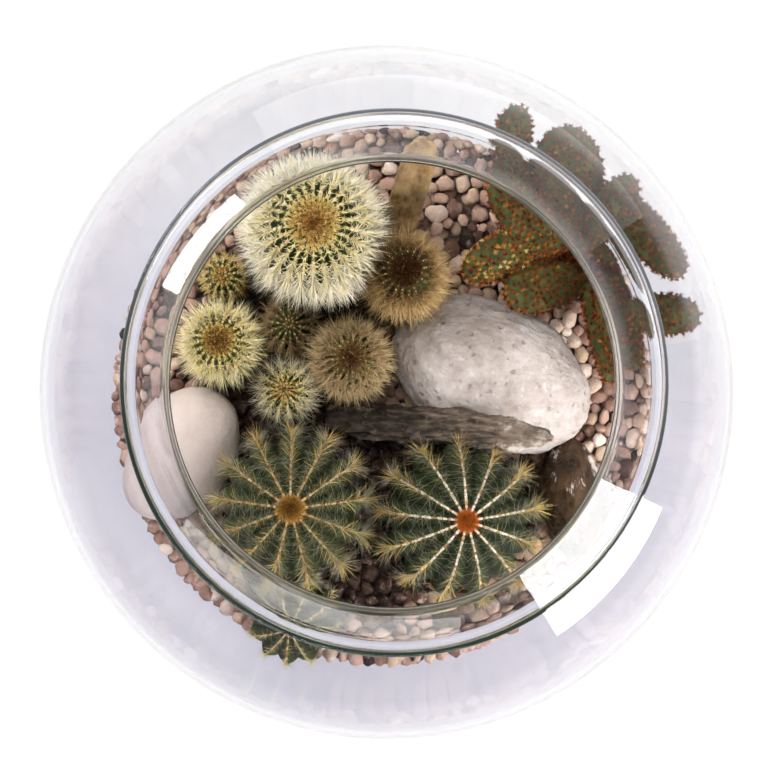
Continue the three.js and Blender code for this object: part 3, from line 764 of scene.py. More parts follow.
# a slab runs from one point to another and gets narrower by taper; ridge is the depth of its split grain
slabs = {
    "slateSplinter": {"node": "stone_slate", "slot": "slate", "from": (-27, -9.5, 51), "to": (74.5, -20, 93),
                      "width": 17.5, "thick": 9, "taper": 0.3, "roll": 14, "seed": 2.2, "ridge": 2.2},
    "tanStone": {"node": "stone_tan", "slot": "tan_stone", "from": (6, 76, 33), "to": (16.5, 108, 118),
                 "width": 16.5, "thick": 6, "taper": 0.1, "roll": 10, "seed": 6.6, "ridge": 0.3},
}


def whiteStoneFinish():
    finish = Finish("whiteLimestone")
    cloud = finish.grain(28, 5.0, 0.62)
    mottle = finish.grain(150, 5.0, 0.7)
    fine = finish.grain(900, 3.0, 0.6)
    pit = finish.cells(230)
    colour = finish.ramp(cloud, [(0.3, (0.36, 0.305, 0.272)), (0.5, (0.465, 0.412, 0.382)),
                                 (0.7, (0.56, 0.515, 0.488))])
    colour = finish.blend(finish.level(mottle, 0.46, 0.66) * 0.5, colour, (0.28, 0.225, 0.19))
    colour = finish.blend(finish.level(mottle, 0.44, 0.32) * 0.5, colour, (0.66, 0.635, 0.62))
    hole = finish.level(pit, 0.36, 0.14) * finish.level(mottle, 0.46, 0.56)
    colour = finish.blend(hole * 0.45, colour, (0.24, 0.18, 0.14))
    return finish.paint(colour, finish.level(fine, 0.3, 0.7, 0.5, 0.75),
                        [(mottle, 0.0012), (1 - hole, 0.0006), (fine, 0.0002)])


def beigeStoneFinish():
    finish = Finish("beigeSandstone")
    cloud = finish.grain(30, 4.0, 0.6)
    fine = finish.grain(800, 4.0, 0.6)
    speck = finish.cells(700)
    colour = finish.ramp(cloud, [(0.3, (0.45, 0.375, 0.335)), (0.55, (0.55, 0.465, 0.42)),
                                 (0.75, (0.62, 0.55, 0.51))])
    colour = finish.blend(finish.level(speck, 0.14, 0.06) * 0.4, colour, (0.35, 0.22, 0.14))
    return finish.paint(colour, 0.7, [(cloud, 0.002), (fine, 0.0003)])


def brownStoneFinish():
    finish = Finish("brownWetStone")
    cloud = finish.grain(60, 5.0, 0.65)
    veins = finish.grain(90, 5.0, 0.7, finish.place(scale=(1.0, 0.28, 1.0), turn=(0, 0, 0.3)))
    fine = finish.grain(900, 3.0, 0.6)
    colour = finish.ramp(cloud, [(0.3, (0.011, 0.006, 0.003)), (0.5, (0.038, 0.021, 0.01)),
                                 (0.7, (0.11, 0.058, 0.024)), (0.85, (0.26, 0.17, 0.1))])
    colour = finish.blend(finish.level(veins, 0.565, 0.62) * 0.85, colour, (0.7, 0.62, 0.56))
    return finish.paint(colour, finish.level(cloud, 0.35, 0.65, 0.22, 0.5), [(veins, 0.0015), (fine, 0.0003)])


def slateFinish():
    finish = Finish("darkSlate")
    along = finish.attribute("along")
    lines = finish.grain(420, 5.0, 0.65, finish.place(scale=(0.22, 1.0, 0.6), turn=(0, 0, -0.1)))
    cloud = finish.grain(90, 5.0, 0.65)
    pit = finish.cells(200)
    fine = finish.grain(1300, 2.0, 0.6)
    colour = finish.ramp(lines, [(0.34, (0.015, 0.011, 0.008)), (0.5, (0.07, 0.051, 0.038)),
                                 (0.66, (0.215, 0.165, 0.125))])
    # painted shade: darker towards the slab's low end, where it dips into the gravel
    colour = finish.blend(finish.level(along, 0.6, 0.15) * 0.6, colour, (0.02, 0.015, 0.012))
    colour = finish.blend(finish.level(along + (lines - 0.5) * 0.5, 0.6, 0.85) * 0.5, colour,
                          (0.27, 0.205, 0.155))
    colour = finish.blend(finish.level(cloud, 0.56, 0.64) * 0.45, colour, (0.26, 0.2, 0.15))
    tip = finish.level(along + (cloud - 0.5) * 0.7, 0.78, 0.92)
    worn = finish.ramp(cloud, [(0.4, (0.1, 0.077, 0.06)), (0.5, (0.36, 0.3, 0.24)),
                               (0.6, (0.68, 0.62, 0.56))])
    colour = finish.blend(tip * 0.85, colour, worn)
    hole = finish.level(pit, 0.16, 0.08) * finish.level(cloud, 0.5, 0.55)
    colour = finish.blend(hole * 0.8, colour, (0.015, 0.01, 0.008))
    return finish.paint(colour, finish.level(fine, 0.3, 0.7, 0.38, 0.6),
                        [(lines, 0.0012), (1 - hole, 0.001), (fine, 0.0002)])


def tanStoneFinish():
    finish = Finish("tanSandstone")
    lines = finish.grain(240, 5.0, 0.6, finish.place(scale=(1.0, 1.0, 0.12)))
    cloud = finish.grain(70, 4.0, 0.6)
    colour = finish.ramp(lines, [(0.3, (0.14, 0.078, 0.027)), (0.5, (0.33, 0.205, 0.085)),
                                 (0.7, (0.48, 0.33, 0.155))])
    colour = finish.blend(finish.level(cloud, 0.5, 0.7) * 0.6, colour, (0.38, 0.29, 0.18))
    return finish.paint(colour, 0.7, [(lines, 0.0014), (cloud, 0.001)])


stoneFinishes = {"whiteBoulder": whiteStoneFinish, "beigeStone": beigeStoneFinish,
                 "brownStone": brownStoneFinish, "slateSplinter": slateFinish, "tanStone": tanStoneFinish}


def addBoulder(name, stone):
    # a ball with broad waves, dents and small pits, turned and set in the bed
    ball = bmesh.new()
    bmesh.ops.create_icosphere(ball, subdivisions=stone["level"], radius=1)
    points = np.array([vertex.co[:] for vertex in ball.verts])
    faces = [[vertex.index for vertex in face.verts] for face in ball.faces]
    ball.free()
    shift = Vector((stone["seed"], stone["seed"] * 0.7, 1.3))
    scale = np.empty(len(points))
    for index, point in enumerate(points):
        spot = Vector(point)
        wave = noise.fractal(spot * 0.9 + shift, 1.0, 2.0, 2)
        dent = noise.fractal(spot * 3.5 + shift, 0.9, 2.1, 4)
        pit = max(0.0, noise.noise(spot * 26 + shift) - 0.42)
        scale[index] = 1 + stone["waves"] * wave + stone["dents"] * dent - 0.04 * stone["pits"] * pit
    points *= scale[:, None] * stone["half"]
    tilt, turn = math.radians(stone["tilt"]), math.radians(stone["turn"])
    turned = Matrix.Rotation(turn, 3, "Z") @ Matrix.Rotation(tilt, 3, "Y")
    points = points @ np.array(turned).T + stone["at"]
    piece = addMesh(name, points, faces, stoneFinishes[name]())
    ownPiece(piece, stone["slot"], stone["node"])
    low = (stone["at"][2] - bed["stoneLevel"]) / stone["half"][2]
    share = math.sqrt(max(0.1, 1 - low * low))
    standing.append((*stone["at"][:2], stone["half"][0] * share, stone["half"][1] * share, turn))


def addSlab(name, slab):
    # a flat bar with split, chipped edges
    start, end = np.array(slab["from"], float), np.array(slab["to"], float)
    length = np.linalg.norm(end - start)
    along = (end - start) / length
    across = np.cross([0, 0, 1], along)
    across /= np.linalg.norm(across)
    out = np.cross(along, across)
    roll = np.array(Matrix.Rotation(math.radians(slab["roll"]), 3, Vector(along)))
    across, out = roll @ across, roll @ out
    rows, columns = 110, 72
    points, shares = [], []
    for row in range(rows):
        s = (row + 0.5) / rows
        closing = math.sqrt(max(0.02, min(1, s / 0.02, (1 - s) / 0.03)))
        near = min(1, 0.55 + s * 3.5, 0.45 + (1 - s) * 4) * closing
        width = near * (1 - slab["taper"] * s * s) * slab["width"] / 2
        thick = near * (1 - 0.3 * slab["taper"] * s) * slab["thick"] / 2
        for column in range(columns):
            angle = column / columns * 2 * math.pi
            c, w = math.cos(angle), math.sin(angle)
            u = math.copysign(abs(c) ** 0.55, c)
            v = math.copysign(abs(w) ** 0.6, w)
            spot = Vector((s * length * 0.03, u * width * 0.16, v * thick * 0.16 + slab["seed"]))
            ridge = noise.fractal(Vector((spot.x * 1.3, spot.y * 2.6, spot.z * 2.6)), 0.8, 2.1, 5)
            spot = Vector((s * length * 0.14, u * width * 0.2, v * thick * 0.3 + slab["seed"]))
            chip = noise.fractal(spot, 0.8, 2.1, 4)
            grow = slab["ridge"] * ridge + 0.5 * slab["ridge"] * chip - 0.3 * slab["ridge"]
            middle = start + along * s * length
            points.append(middle + across * (u * width + c * grow) + out * (v * thick + w * grow))
            shares.append(s)
    count = rows * columns
    points += [start, end]
    shares += [0, 1]
    piece = addMesh(name, points, gridFaces(rows, columns, count, count + 1), stoneFinishes[name](),
                    {"along": shares})
    ownPiece(faceOut(piece), slab["slot"], slab["node"])


for name, stone in stones.items():
    addBoulder(name, stone)
for name, slab in slabs.items():
    addSlab(name, slab)
standing.append((7.5, 80, 9.5, 5, 0.0))  # the tan stone's foot
print("stones are placed")


# tones: 0 dark brown, 0.2 golden brown, 0.4 yellow, 0.6 cream yellow, 0.8 cream, 1 white
spineStops = [(0.0, (0.04, 0.012, 0.004)), (0.12, (0.16, 0.06, 0.012)), (0.25, (0.4, 0.21, 0.04)),
              (0.42, (0.68, 0.5, 0.15)), (0.6, (0.78, 0.68, 0.34)), (0.8, (0.84, 0.76, 0.52)),
              (1.0, (0.9, 0.88, 0.78))]
# tones from nearly black to pale straw, and from nearly black to light tan
strawStops = [(0.0, (0.03, 0.01, 0.003)), (0.3, (0.16, 0.085, 0.03)), (0.6, (0.41, 0.29, 0.14)),
              (1.0, (0.68, 0.55, 0.33))]
brownStops = [(0.0, (0.018, 0.006, 0.002)), (0.3, (0.14, 0.065, 0.02)), (0.6, (0.42, 0.27, 0.11)),
              (1.0, (0.68, 0.5, 0.25))]


def spineFinish(name, stops, roughness=0.45):
    # each needle has its own tone and gets a little paler towards its tip
    finish = Finish(name, Specular_IOR_Level=0.15)
    tone = finish.attribute("tone") + (finish.attribute("along") - 0.5) * 0.16
    return finish.paint(finish.ramp(tone, stops), roughness)


def skinFinish(name, furrow, flank, crest, roughness=0.55):
    # green from the furrows to the ribs' crests, much darker in the furrows as painted shade, with pale
    # specks
    finish = Finish(name, Specular_IOR_Level=0.15)
    rib = finish.attribute("crest")
    cloud = finish.grain(180, 4.0, 0.6)
    fine = finish.grain(1600, 2.0, 0.6)
    colour = finish.ramp(rib + (cloud - 0.5) * 0.25, [(0.0, furrow), (0.55, flank), (1.0, crest)])
    pale = tuple(min(1, part * 2.2 + 0.03) for part in flank)
    colour = finish.blend(finish.level(fine, 0.58, 0.72) * 0.35, colour, pale)
    return finish.paint(colour, roughness, [(cloud, 0.0006), (fine, 0.00012)])


spineCoats = {
    "cream": spineFinish("spineCoat", spineStops),
    "brown": spineFinish("brownSpineCoat", brownStops),
    "straw": spineFinish("strawSpineCoat", strawStops),
}
hairStops = [(0.0, (0.13, 0.125, 0.07)), (0.5, (0.3, 0.3, 0.21)), (1.0, (0.55, 0.54, 0.44))]
hairCoat = spineFinish("hairCoat", hairStops, 0.35)
feltStops = [(0.0, (0.16, 0.045, 0.015)), (0.25, (0.36, 0.14, 0.04)), (0.5, (0.62, 0.42, 0.2)),
             (0.75, (0.78, 0.66, 0.48)), (1.0, (0.86, 0.78, 0.68))]
feltCoat = pebbleFinish("areoleFelt", feltStops)
goldenStops = [(0.0, (0.12, 0.04, 0.008)), (0.5, (0.4, 0.2, 0.04)), (1.0, (0.72, 0.5, 0.2))]
rustStops = [(0.0, (0.28, 0.065, 0.01)), (0.5, (0.62, 0.18, 0.025)), (1.0, (0.75, 0.42, 0.2))]
woolCoats = {"goldenWool": spineFinish("goldenWool", goldenStops, 0.8),
             "rustWool": spineFinish("rustWool", rustStops, 0.8)}
columnSkin = skinFinish("columnSkin", (0.014, 0.021, 0.007), (0.06, 0.085, 0.02), (0.15, 0.18, 0.045))
smallSkin = skinFinish("smallSkin", (0.006, 0.012, 0.004), (0.03, 0.055, 0.016), (0.09, 0.13, 0.04))
ribbedSkin = skinFinish("ribbedSkin", (0.006, 0.008, 0.002), (0.019, 0.024, 0.006), (0.045, 0.05, 0.012), 0.6)
ribbedDark = skinFinish("ribbedDarkSkin", (0.005, 0.007, 0.002), (0.014, 0.021, 0.007),
                        (0.031, 0.039, 0.013), 0.6)

# x, y, top, radius, neck, bulge, ribs and turn follow the solids; lean is how far the foot stands aside and
# foot its height; pitch is the step between areoles; lengths are a spine's at the crown and on the sides
# tones are the spines' at the crown, on the shoulder and on the sides; crown is the wool's radius, count,
# length and tones, and thinning above 0.5 crowds it towards the middle
# on columns spines is how many an areole bears: lying ones at the top, then lying and standing ones on the
# sides; strands makes them hang like hair
# on ribbed ones golds is how many an areole bears near the crown and further out, hairs how many fine ones,
# and felt is the ribs' tone, half width and step
cacti = {
    "largeCreamCactus": {
        "node": "cactus_large_cream", "slot": "cream_spined_cactus", "skin": columnSkin, "kind": "column",
        "x": -32, "y": 71.5, "top": 132, "radius": 25, "neck": 18, "bulge": 0.75,
        "ribs": 26, "depth": 0.16, "turn": 11, "pitch": 3.3, "lengths": (2.9, 12.6),
        "tones": (0.42, 0.64, 0.84), "spines": (7, 5, 5), "thick": 0.27,
        "crown": (11, 900, 4.2, 0.05, 0.55), "thinning": 0.85, "seed": 11},
    "creamCactusLeft": {
        "node": "cactus_cream_left", "slot": "cream_spined_cactus", "skin": columnSkin, "kind": "column",
        "x": -74, "y": 22.7, "top": 103, "radius": 13.6, "neck": 10, "bulge": 0.7,
        "ribs": 20, "depth": 0.16, "turn": 12, "pitch": 2.8, "lengths": (2.2, 10.4),
        "tones": (0.32, 0.52, 0.65), "spines": (6, 3, 3), "thick": 0.21,
        "crown": (6.5, 520, 3.6, 0.0, 0.36), "thinning": 0.8, "seed": 12},
    "creamCactusMiddle": {
        "node": "cactus_cream_middle", "slot": "cream_spined_cactus", "skin": columnSkin, "kind": "column",
        "x": -15.8, "y": 15.3, "top": 104, "radius": 13.6, "neck": 10, "bulge": 0.7,
        "ribs": 20, "depth": 0.16, "turn": 13, "pitch": 2.8, "lengths": (4.0, 10.2),
        "tones": (0.34, 0.56, 0.68), "spines": (5, 3, 3), "thick": 0.21, "strands": True, "coat": "straw",
        "crown": (5.2, 560, 4.0, 0.0, 0.34), "thinning": 0.75, "seed": 13},
    "brownCactus": {
        "node": "cactus_brown", "slot": "brown_spined_cactus", "skin": columnSkin, "kind": "column",
        "x": 8, "y": 53, "top": 113, "radius": 13.6, "neck": 10, "bulge": 0.75,
        "ribs": 20, "depth": 0.16, "turn": 14, "pitch": 2.8, "lengths": (2.8, 12.0),
        "tones": (0.05, 0.36, 0.72), "spines": (5, 3, 4), "thick": 0.2, "strands": True, "coat": "brown",
        "crown": (6.5, 900, 5.0, 0.0, 0.14), "thinning": 0.7, "seed": 14},
    "smallGreenCactus": {
        "node": "cactus_small_green", "slot": "green_cactus", "skin": smallSkin, "kind": "column",
        "x": -73, "y": 53, "top": 84, "radius": 8.6, "neck": 6, "bulge": 0.6,
        "ribs": 14, "depth": 0.2, "turn": 15, "pitch": 2.8, "lengths": (2.0, 6.0),
        "tones": (0.25, 0.42, 0.46), "spines": (3, 3, 2), "thick": 0.14,
        "crown": (4.4, 280, 3.0, 0.2, 0.4), "thinning": 0.8, "seed": 15},
    "smallHiddenCactus": {
        "node": "cactus_small_hidden", "slot": "green_cactus", "skin": smallSkin, "kind": "column",
        "x": -43, "y": 31, "top": 80, "radius": 10.5, "neck": 6, "bulge": 0.6,
        "ribs": 14, "depth": 0.2, "turn": 16, "pitch": 2.8, "lengths": (4.2, 9.4),
        "tones": (0.25, 0.5, 0.56), "spines": (4, 3, 3), "thick": 0.13, "strands": True, "coat": "straw",
        "crown": (2.0, 80, 2.4, 0.1, 0.3), "seed": 16},
    "smallWhiteCactus": {
        "node": "cactus_small_white", "slot": "green_cactus", "skin": smallSkin, "kind": "column",
        "x": -45, "y": 1.8, "top": 84, "radius": 10.6, "neck": 7, "bulge": 0.6,
        "ribs": 14, "depth": 0.2, "turn": 17, "pitch": 2.8, "lengths": (3.8, 9.8),
        "tones": (0.4, 0.62, 0.8), "spines": (5, 3, 3), "thick": 0.13, "strands": True,
        "crown": (2.2, 80, 2.2, 0.2, 0.45), "seed": 17},
    "ribbedCactusLeft": {
        "node": "cactus_ribbed_left", "slot": "ribbed_cactus", "skin": ribbedSkin, "kind": "ribbed",
        "x": -42, "y": -51, "top": 104, "radius": 33, "neck": 21, "bulge": 0.15,
        "ribs": 13, "depth": 0.15, "turn": 18, "pitch": 4.0, "lengths": (2.5, 11.5),
        "tones": (0.26, 0.32, 0.4), "golds": (2, 4), "hairs": 11, "felt": (0.5, 0.6, 1.5),
        "crown": (5.4, 850, 3.4, 0.1, 0.75), "woolRise": 0.8, "wool": "goldenWool", "seed": 18},
    "ribbedCactusRight": {
        "node": "cactus_ribbed_right", "slot": "ribbed_cactus", "skin": ribbedDark, "kind": "ribbed",
        "x": 35.5, "y": -56.5, "top": 100, "radius": 34, "neck": 21, "bulge": 0.15, "lean": (-7, 1),
        "ribs": 13, "depth": 0.15, "turn": 19, "pitch": 4.0, "lengths": (1.5, 11.0),
        "tones": (0.24, 0.3, 0.36), "golds": (1, 5), "hairs": 8, "felt": (0.95, 0.68, 1.2),
        "crown": (4.0, 700, 3.6, 0.15, 0.45), "woolRise": 1.2, "wool": "rustWool", "seed": 19},
    "cactusPup": {
        "node": "cactus_pup", "slot": "ribbed_cactus", "skin": ribbedSkin, "kind": "ribbed",
        "x": -43, "y": -106.5, "top": 70, "radius": 20, "neck": 10, "bulge": 0.1, "foot": 33, "lean": (7, 17),
        "ribs": 11, "depth": 0.15, "turn": 20, "pitch": 3.2, "lengths": (1.6, 5.0),
        "tones": (0.3, 0.46, 0.52), "golds": (4, 6), "hairs": 7, "felt": (0.6, 0.42, 1.6),
        "crown": (2.8, 200, 2.4, 0.2, 0.7), "wool": "goldenWool", "seed": 20},
}


curveSteps = 400


def bodyLine(cactus, rows):
    # radius and height down the body at even steps from the crown, its whole length, and how much of it shows
    ground = gravelHeight(cactus["x"], cactus["y"]) + 5
    height = cactus["top"] - ground
    # the handles lie so far out that the curve is as wide as the body halfway up
    belly = (cactus["radius"] - 0.125 * cactus["neck"]) / 0.75
    handles = np.array([(cactus["neck"], ground), (belly, ground + height * 0.5 * cactus["bulge"]),
                        (belly, cactus["top"]), (0, cactus["top"])])
    t = np.linspace(1, 0, curveSteps)[:, None]
    curve = ((1 - t) ** 3 * handles[0] + 3 * t * (1 - t) ** 2 * handles[1] + 3 * t * t * (1 - t) * handles[2]
             + t ** 3 * handles[3])
    foot = cactus.get("foot", bed["drainTop"] + 4)
    under = np.array([(cactus["neck"], foot + 7), (cactus["neck"] * 0.7, foot + 1.5)])
    curve = np.concatenate([curve, under])
    length = np.concatenate([[0], np.cumsum(np.hypot(*np.diff(curve, axis=0).T))])
    even = np.linspace(0, length[-1], rows)
    line = np.stack([np.interp(even, length, curve[:, 0]), np.interp(even, length, curve[:, 1])], 1)
    return line, length[-1], length[curveSteps - 1]


def axisShift(cactus, z):
    # where the axis of a leaning plant is at a height
    lean = cactus.get("lean", (0, 0))
    foot = cactus.get("foot", bed["drainTop"] + 4)
    share = (cactus["top"] - z) / (cactus["top"] - foot)
    return np.array([cactus["x"] + lean[0] * share, cactus["y"] + lean[1] * share])


def ribShare(cactus, angle):
    # 1 on a rib's crest and 0 in the furrow
    phase = np.abs(((angle - cactus["turn"]) * cactus["ribs"] / (2 * math.pi) + 0.5) % 1 - 0.5) * 2
    if cactus["kind"] == "ribbed":
        return 1 - phase ** 1.7
    return 0.5 + 0.5 * np.cos(phase * math.pi)


def cactusBody(name, cactus):
    columns = cactus["ribs"] * (10 if cactus["kind"] == "ribbed" else 6)
    rows = 76 if cactus["radius"] > 15 else 50
    line, total, _ = bodyLine(cactus, rows + 1)
    angle = np.arange(columns) / columns * 2 * math.pi + cactus["turn"]
    rib = ribShare(cactus, angle)
    points, crests = [], []
    for row in range(1, rows + 1):
        radius, z = line[row]
        deep = cactus["depth"] * min(1.0, row / rows * 7)
        along = row / rows * total
        knob = 0.5 + 0.5 * math.cos(along / cactus["pitch"] * 2 * math.pi)
        bump = 0.35 * knob * rib if cactus["kind"] == "column" else 0.4 * knob * rib ** 5
        reach = radius * (1 - deep * (1 - rib)) + bump
        x, y = axisShift(cactus, z)
        nearCrown = max(0.0, 1 - 2.2 * radius / cactus["radius"] * 0.5)
        sink = -0.35 * deep * cactus["radius"] * (1 - rib) * nearCrown
        points.append(np.stack([x + reach * np.cos(angle), y + reach * np.sin(angle), z + sink], 1))
        crests.append(rib)
    crown = [*axisShift(cactus, cactus["top"]), cactus["top"] - 0.4]
    base = [*axisShift(cactus, line[-1, 1]), line[-1, 1] - 0.5]
    points = np.concatenate([*points, [crown, base]])
    crests = np.concatenate([*crests, [0.6, 0.5]])
    faces = gridFaces(rows, columns, rows * columns, rows * columns + 1)
    piece = faceOut(addMesh(name, points, faces, cactus["skin"], {"crest": crests}))
    ownPiece(piece, cactus["slot"], cactus["node"])


def areolesOf(cactus, random, pitch=None):
    # the points on the ribs that spines grow from, with the ways out, down and across
    # share runs from 0 at the crown to 1 at the ground
    pitch = pitch or cactus["pitch"]
    steps = 400
    line, total, shown = bodyLine(cactus, steps + 1)
    count = int(shown / pitch)
    out = {key: [] for key in ("place", "out", "down", "side", "share")}
    for rib in range(cactus["ribs"]):
        angle = rib / cactus["ribs"] * 2 * math.pi + cactus["turn"]
        ray = np.array([math.cos(angle), math.sin(angle), 0])
        side = np.array([-math.sin(angle), math.cos(angle), 0])
        for step in range(count):
            along = (step + 0.55 + 0.5 * (rib % 2) + random.uniform(-0.2, 0.2)) * pitch
            spot = along / total * steps
            index = int(spot)
            if along >= shown - 1:
                continue
            (r0, z0), (r1, z1) = line[index], line[index + 1]
            part = spot - index
            radius, z = r0 + (r1 - r0) * part, z0 + (z1 - z0) * part
            down = ray * (r1 - r0) + np.array([0, 0, z1 - z0])
            down /= np.linalg.norm(down)
            x, y = axisShift(cactus, z)
            out["place"].append(np.array([x, y, z]) + ray * radius)
            out["down"].append(down)
            out["out"].append(np.cross(side, down) * -1)
            out["side"].append(side)
            out["share"].append(along / shown)
    field = {key: np.array(value, float) for key, value in out.items()}
    # every way out points away from the plant's middle
    middle = [*axisShift(cactus, 60), 60]
    flip = np.sign((field["out"] * (field["place"] - middle)).sum(1))
    field["out"] *= flip[:, None]
    return field


def spinesOn(random, spots, count, tilt, length, tone, jitter=0.18, fan=None, lobes=(0,), base=0.0):
    # count spines on each spot, tilted from the skin's normal in degrees
    # with a fan they spread that far round the ways in lobes, counted from down, and else all round
    total = len(spots["share"]) * count
    index = np.repeat(np.arange(len(spots["share"])), count)
    if fan:
        turn = random.choice(lobes, total) + random.normal(0, fan, total)
    else:
        turn = random.uniform(0, 2 * math.pi, total)
    lean = np.radians(random.uniform(*tilt, total))
    out, down, side = spots["out"][index], spots["down"][index], spots["side"][index]
    around = down * np.cos(turn)[:, None] + side * np.sin(turn)[:, None]
    aim = out * np.cos(lean)[:, None] + around * np.sin(lean)[:, None]
    aim += random.normal(0, 0.08, aim.shape)
    aim /= np.linalg.norm(aim, axis=1)[:, None]
    share = spots["share"][index]
    reach = length(share) * random.uniform(1 - jitter * 2, 1 + jitter * 0.6, total)
    place = spots["place"][index] + out * base + random.normal(0, 0.25, aim.shape)
    twist = random.uniform(0, 2 * math.pi, total)
    tones = np.clip(tone(share) + random.normal(0, 0.09, total), 0, 1)
    return {"place": place, "aim": aim, "length": reach, "twist": twist, "tone": tones}


def among(spots, keep):
    return {key: value[keep] for key, value in spots.items()}


def crownOf(cactus, random):
    # a pad of short wool or spines over the growing point
    radius, count, length, inner, outer = cactus["crown"]
    out = radius * random.uniform(0, 1, count) ** cactus.get("thinning", 0.5)
    angle = random.uniform(0, 2 * math.pi, count)
    x, y = axisShift(cactus, cactus["top"])
    rise = cactus["top"] + cactus.get("woolRise", 0) - 0.8 - 0.12 * out ** 2 / cactus["radius"] * 1.6
    place = np.stack([x + out * np.cos(angle), y + out * np.sin(angle), rise], 1)
    spread, upwards = 0.9, 0.75
    aim = np.stack([np.cos(angle) * out / radius * spread, np.sin(angle) * out / radius * spread,
                    np.ones(count) * upwards], 1)
    aim += random.normal(0, 0.3, aim.shape)
    aim /= np.linalg.norm(aim, axis=1)[:, None]
    lengths = random.uniform(length * 0.6, length, count)
    twist = random.uniform(0, 6.3, count)
    tone = inner + (outer - inner) * (out / radius) ** 1.3
    tone = np.clip(tone + random.normal(0, 0.05, count), 0, 1)
    return {"place": place, "aim": aim, "length": lengths, "twist": twist, "tone": tone}


def insideGlass(field, margin=1.0):
    # leaves out needles that would reach the glass
    tip = field["place"] + field["aim"] * field["length"][:, None]
    room = np.array([wallRadius(min(z, 190), bowl["wall"]) for z in tip[:, 2]]) - margin
    return among(field, np.hypot(tip[:, 0], tip[:, 1]) < room)


def feltOn(random, spots, half, tone):
    # small cushions that lie on the skin, long side down the rib
    count = len(spots["share"])
    heading = np.arctan2(spots["down"][:, 1], spots["down"][:, 0])
    dip = -np.arcsin(np.clip(spots["down"][:, 2], -1, 1))
    size = np.array(half) * random.uniform(0.8, 1.15, (count, 1))
    turn = np.stack([np.zeros(count), dip, heading], 1)
    tones = np.clip(tone(spots["share"]) + random.normal(0, 0.05, count), 0, 1)
    return {"place": spots["place"] + spots["out"] * 0.15, "half": size, "turn": turn, "tone": tones}


def columnSpines(name, cactus):
    random = np.random.default_rng(cactus["seed"])
    spots = areolesOf(cactus, random)
    short, long = cactus["lengths"]
    crown, ring, side = cactus["tones"]
    tuft, few, many = cactus["spines"]
    # where the long spines start, which ways they lie and how long the crown's own are
    if cactus.get("strands"):
        start, lobes, fan, reach = 0.0, (0,), 0.55, 1.5
    else:
        start, lobes, fan, reach = 0.1, (0, math.pi), 1.0, 0.85

    def length(share):
        return short + (long - short) * np.clip((share - start) / 0.25, 0, 1)

    def tone(share):
        return np.interp(share, [0, 0.03, 0.08, 0.17, 0.34, 1],
                         [crown * 0.2, crown * 0.6, crown, ring, side, side])

    def feltTone(share):
        return np.interp(share, [0, 0.1, 0.3, 1], [0.2, 0.55, 0.8, 0.8]) * (0.6 + 0.5 * side)

    share = spots["share"]
    shoulder = among(spots, share < 0.36)
    flank = among(spots, (share > 0.2) & (share < 0.72))
    below = among(spots, share > 0.6)
    fields = [spinesOn(random, shoulder, tuft, (48, 80), lambda s: short * (reach + s), tone,
                       fan=fan, lobes=lobes),
              spinesOn(random, shoulder, few // 2, (8, 45), length, tone),
              spinesOn(random, flank, few, (40, 84), lambda s: length(s) * 0.7, tone),
              spinesOn(random, flank, many, (2, 55), length, lambda s: tone(s) - 0.02),
              spinesOn(random, below, few, (10, 70), length, tone),
              crownOf(cactus, random)]
    coat = spineCoats[cactus.get("coat", "cream")]
    spines = growNeedles(name + "Spines", insideGlass(merged(fields)), coat, cactus["thick"], bend=0.3)
    ownPiece(spines, cactus["slot"])
    half = np.array((0.75, 0.55, 0.4)) * (1.5 if cactus["radius"] > 20 else 0.9)
    felt = feltOn(random, spots, half, feltTone)
    ownPiece(growPebbles(name + "Areoles", felt, feltCoat, roughness=0.3, detail=1), cactus["slot"])


def ribbedSpines(name, cactus):
    random = np.random.default_rng(cactus["seed"])
    spots = areolesOf(cactus, random)
    short, long = cactus["lengths"]
    crown, ring, side = cactus["tones"]
    few, many = cactus["golds"]
    share = spots["share"]

    def length(share):
        return short + (long - short) * np.clip((share - 0.05) / 0.4, 0, 1)

    def tone(share):
        return np.interp(share, [0, 0.12, 0.4, 1], [crown, ring, side, side])

    def hairLength(share):
        return 3.5 + (long - 3) * np.clip(share / 0.3, 0, 1)

    def feltTone(share):
        # darker down the ribs, with a brown areole every few millimetres
        fading = tint - 0.3 * np.clip((share - 0.35) / 0.3, 0, 1)
        return fading * (1 - 0.6 * (np.sin(share * 75) > 0.75))

    outer = among(spots, share > 0.3)
    fields = [spinesOn(random, among(spots, share > 0.1), few, (30, 75), length, tone, fan=1.1),
              spinesOn(random, outer, many - few, (15, 65), length, tone, fan=0.9)]
    golds = insideGlass(merged(fields))
    spines = growNeedles(name + "Spines", golds, spineCoats["cream"], 0.17, bend=0.8, steps=2)
    ownPiece(spines, cactus["slot"])
    hairy = areolesOf(cactus, random, cactus["pitch"] * 0.6)
    hairy = among(hairy, (hairy["share"] > 0.1) & (hairy["share"] < 0.8))
    hairs = spinesOn(random, hairy, cactus["hairs"], (50, 88), hairLength, lambda s: 0.1 + 0.8 * s,
                     jitter=0.3, base=0.3)
    hairs = insideGlass(hairs)
    ownPiece(growNeedles(name + "Hairs", hairs, hairCoat, 0.08, bend=3.6, steps=3), cactus["slot"])
    tint, half, pitch = cactus["felt"]
    line = areolesOf(cactus, random, pitch)
    start = cactus["crown"][0] / cactus["radius"] * 0.45
    line = among(line, (line["share"] > start) & (line["share"] < 0.85))
    felt = feltOn(random, line, (pitch * 0.72, half, 0.45), feltTone)
    ownPiece(growPebbles(name + "Areoles", felt, feltCoat, roughness=0.5, detail=1), cactus["slot"])
    wool, coat = crownOf(cactus, random), woolCoats[cactus["wool"]]
    ownPiece(growNeedles(name + "Wool", wool, coat, 0.16, bend=1.2, steps=2), cactus["slot"])


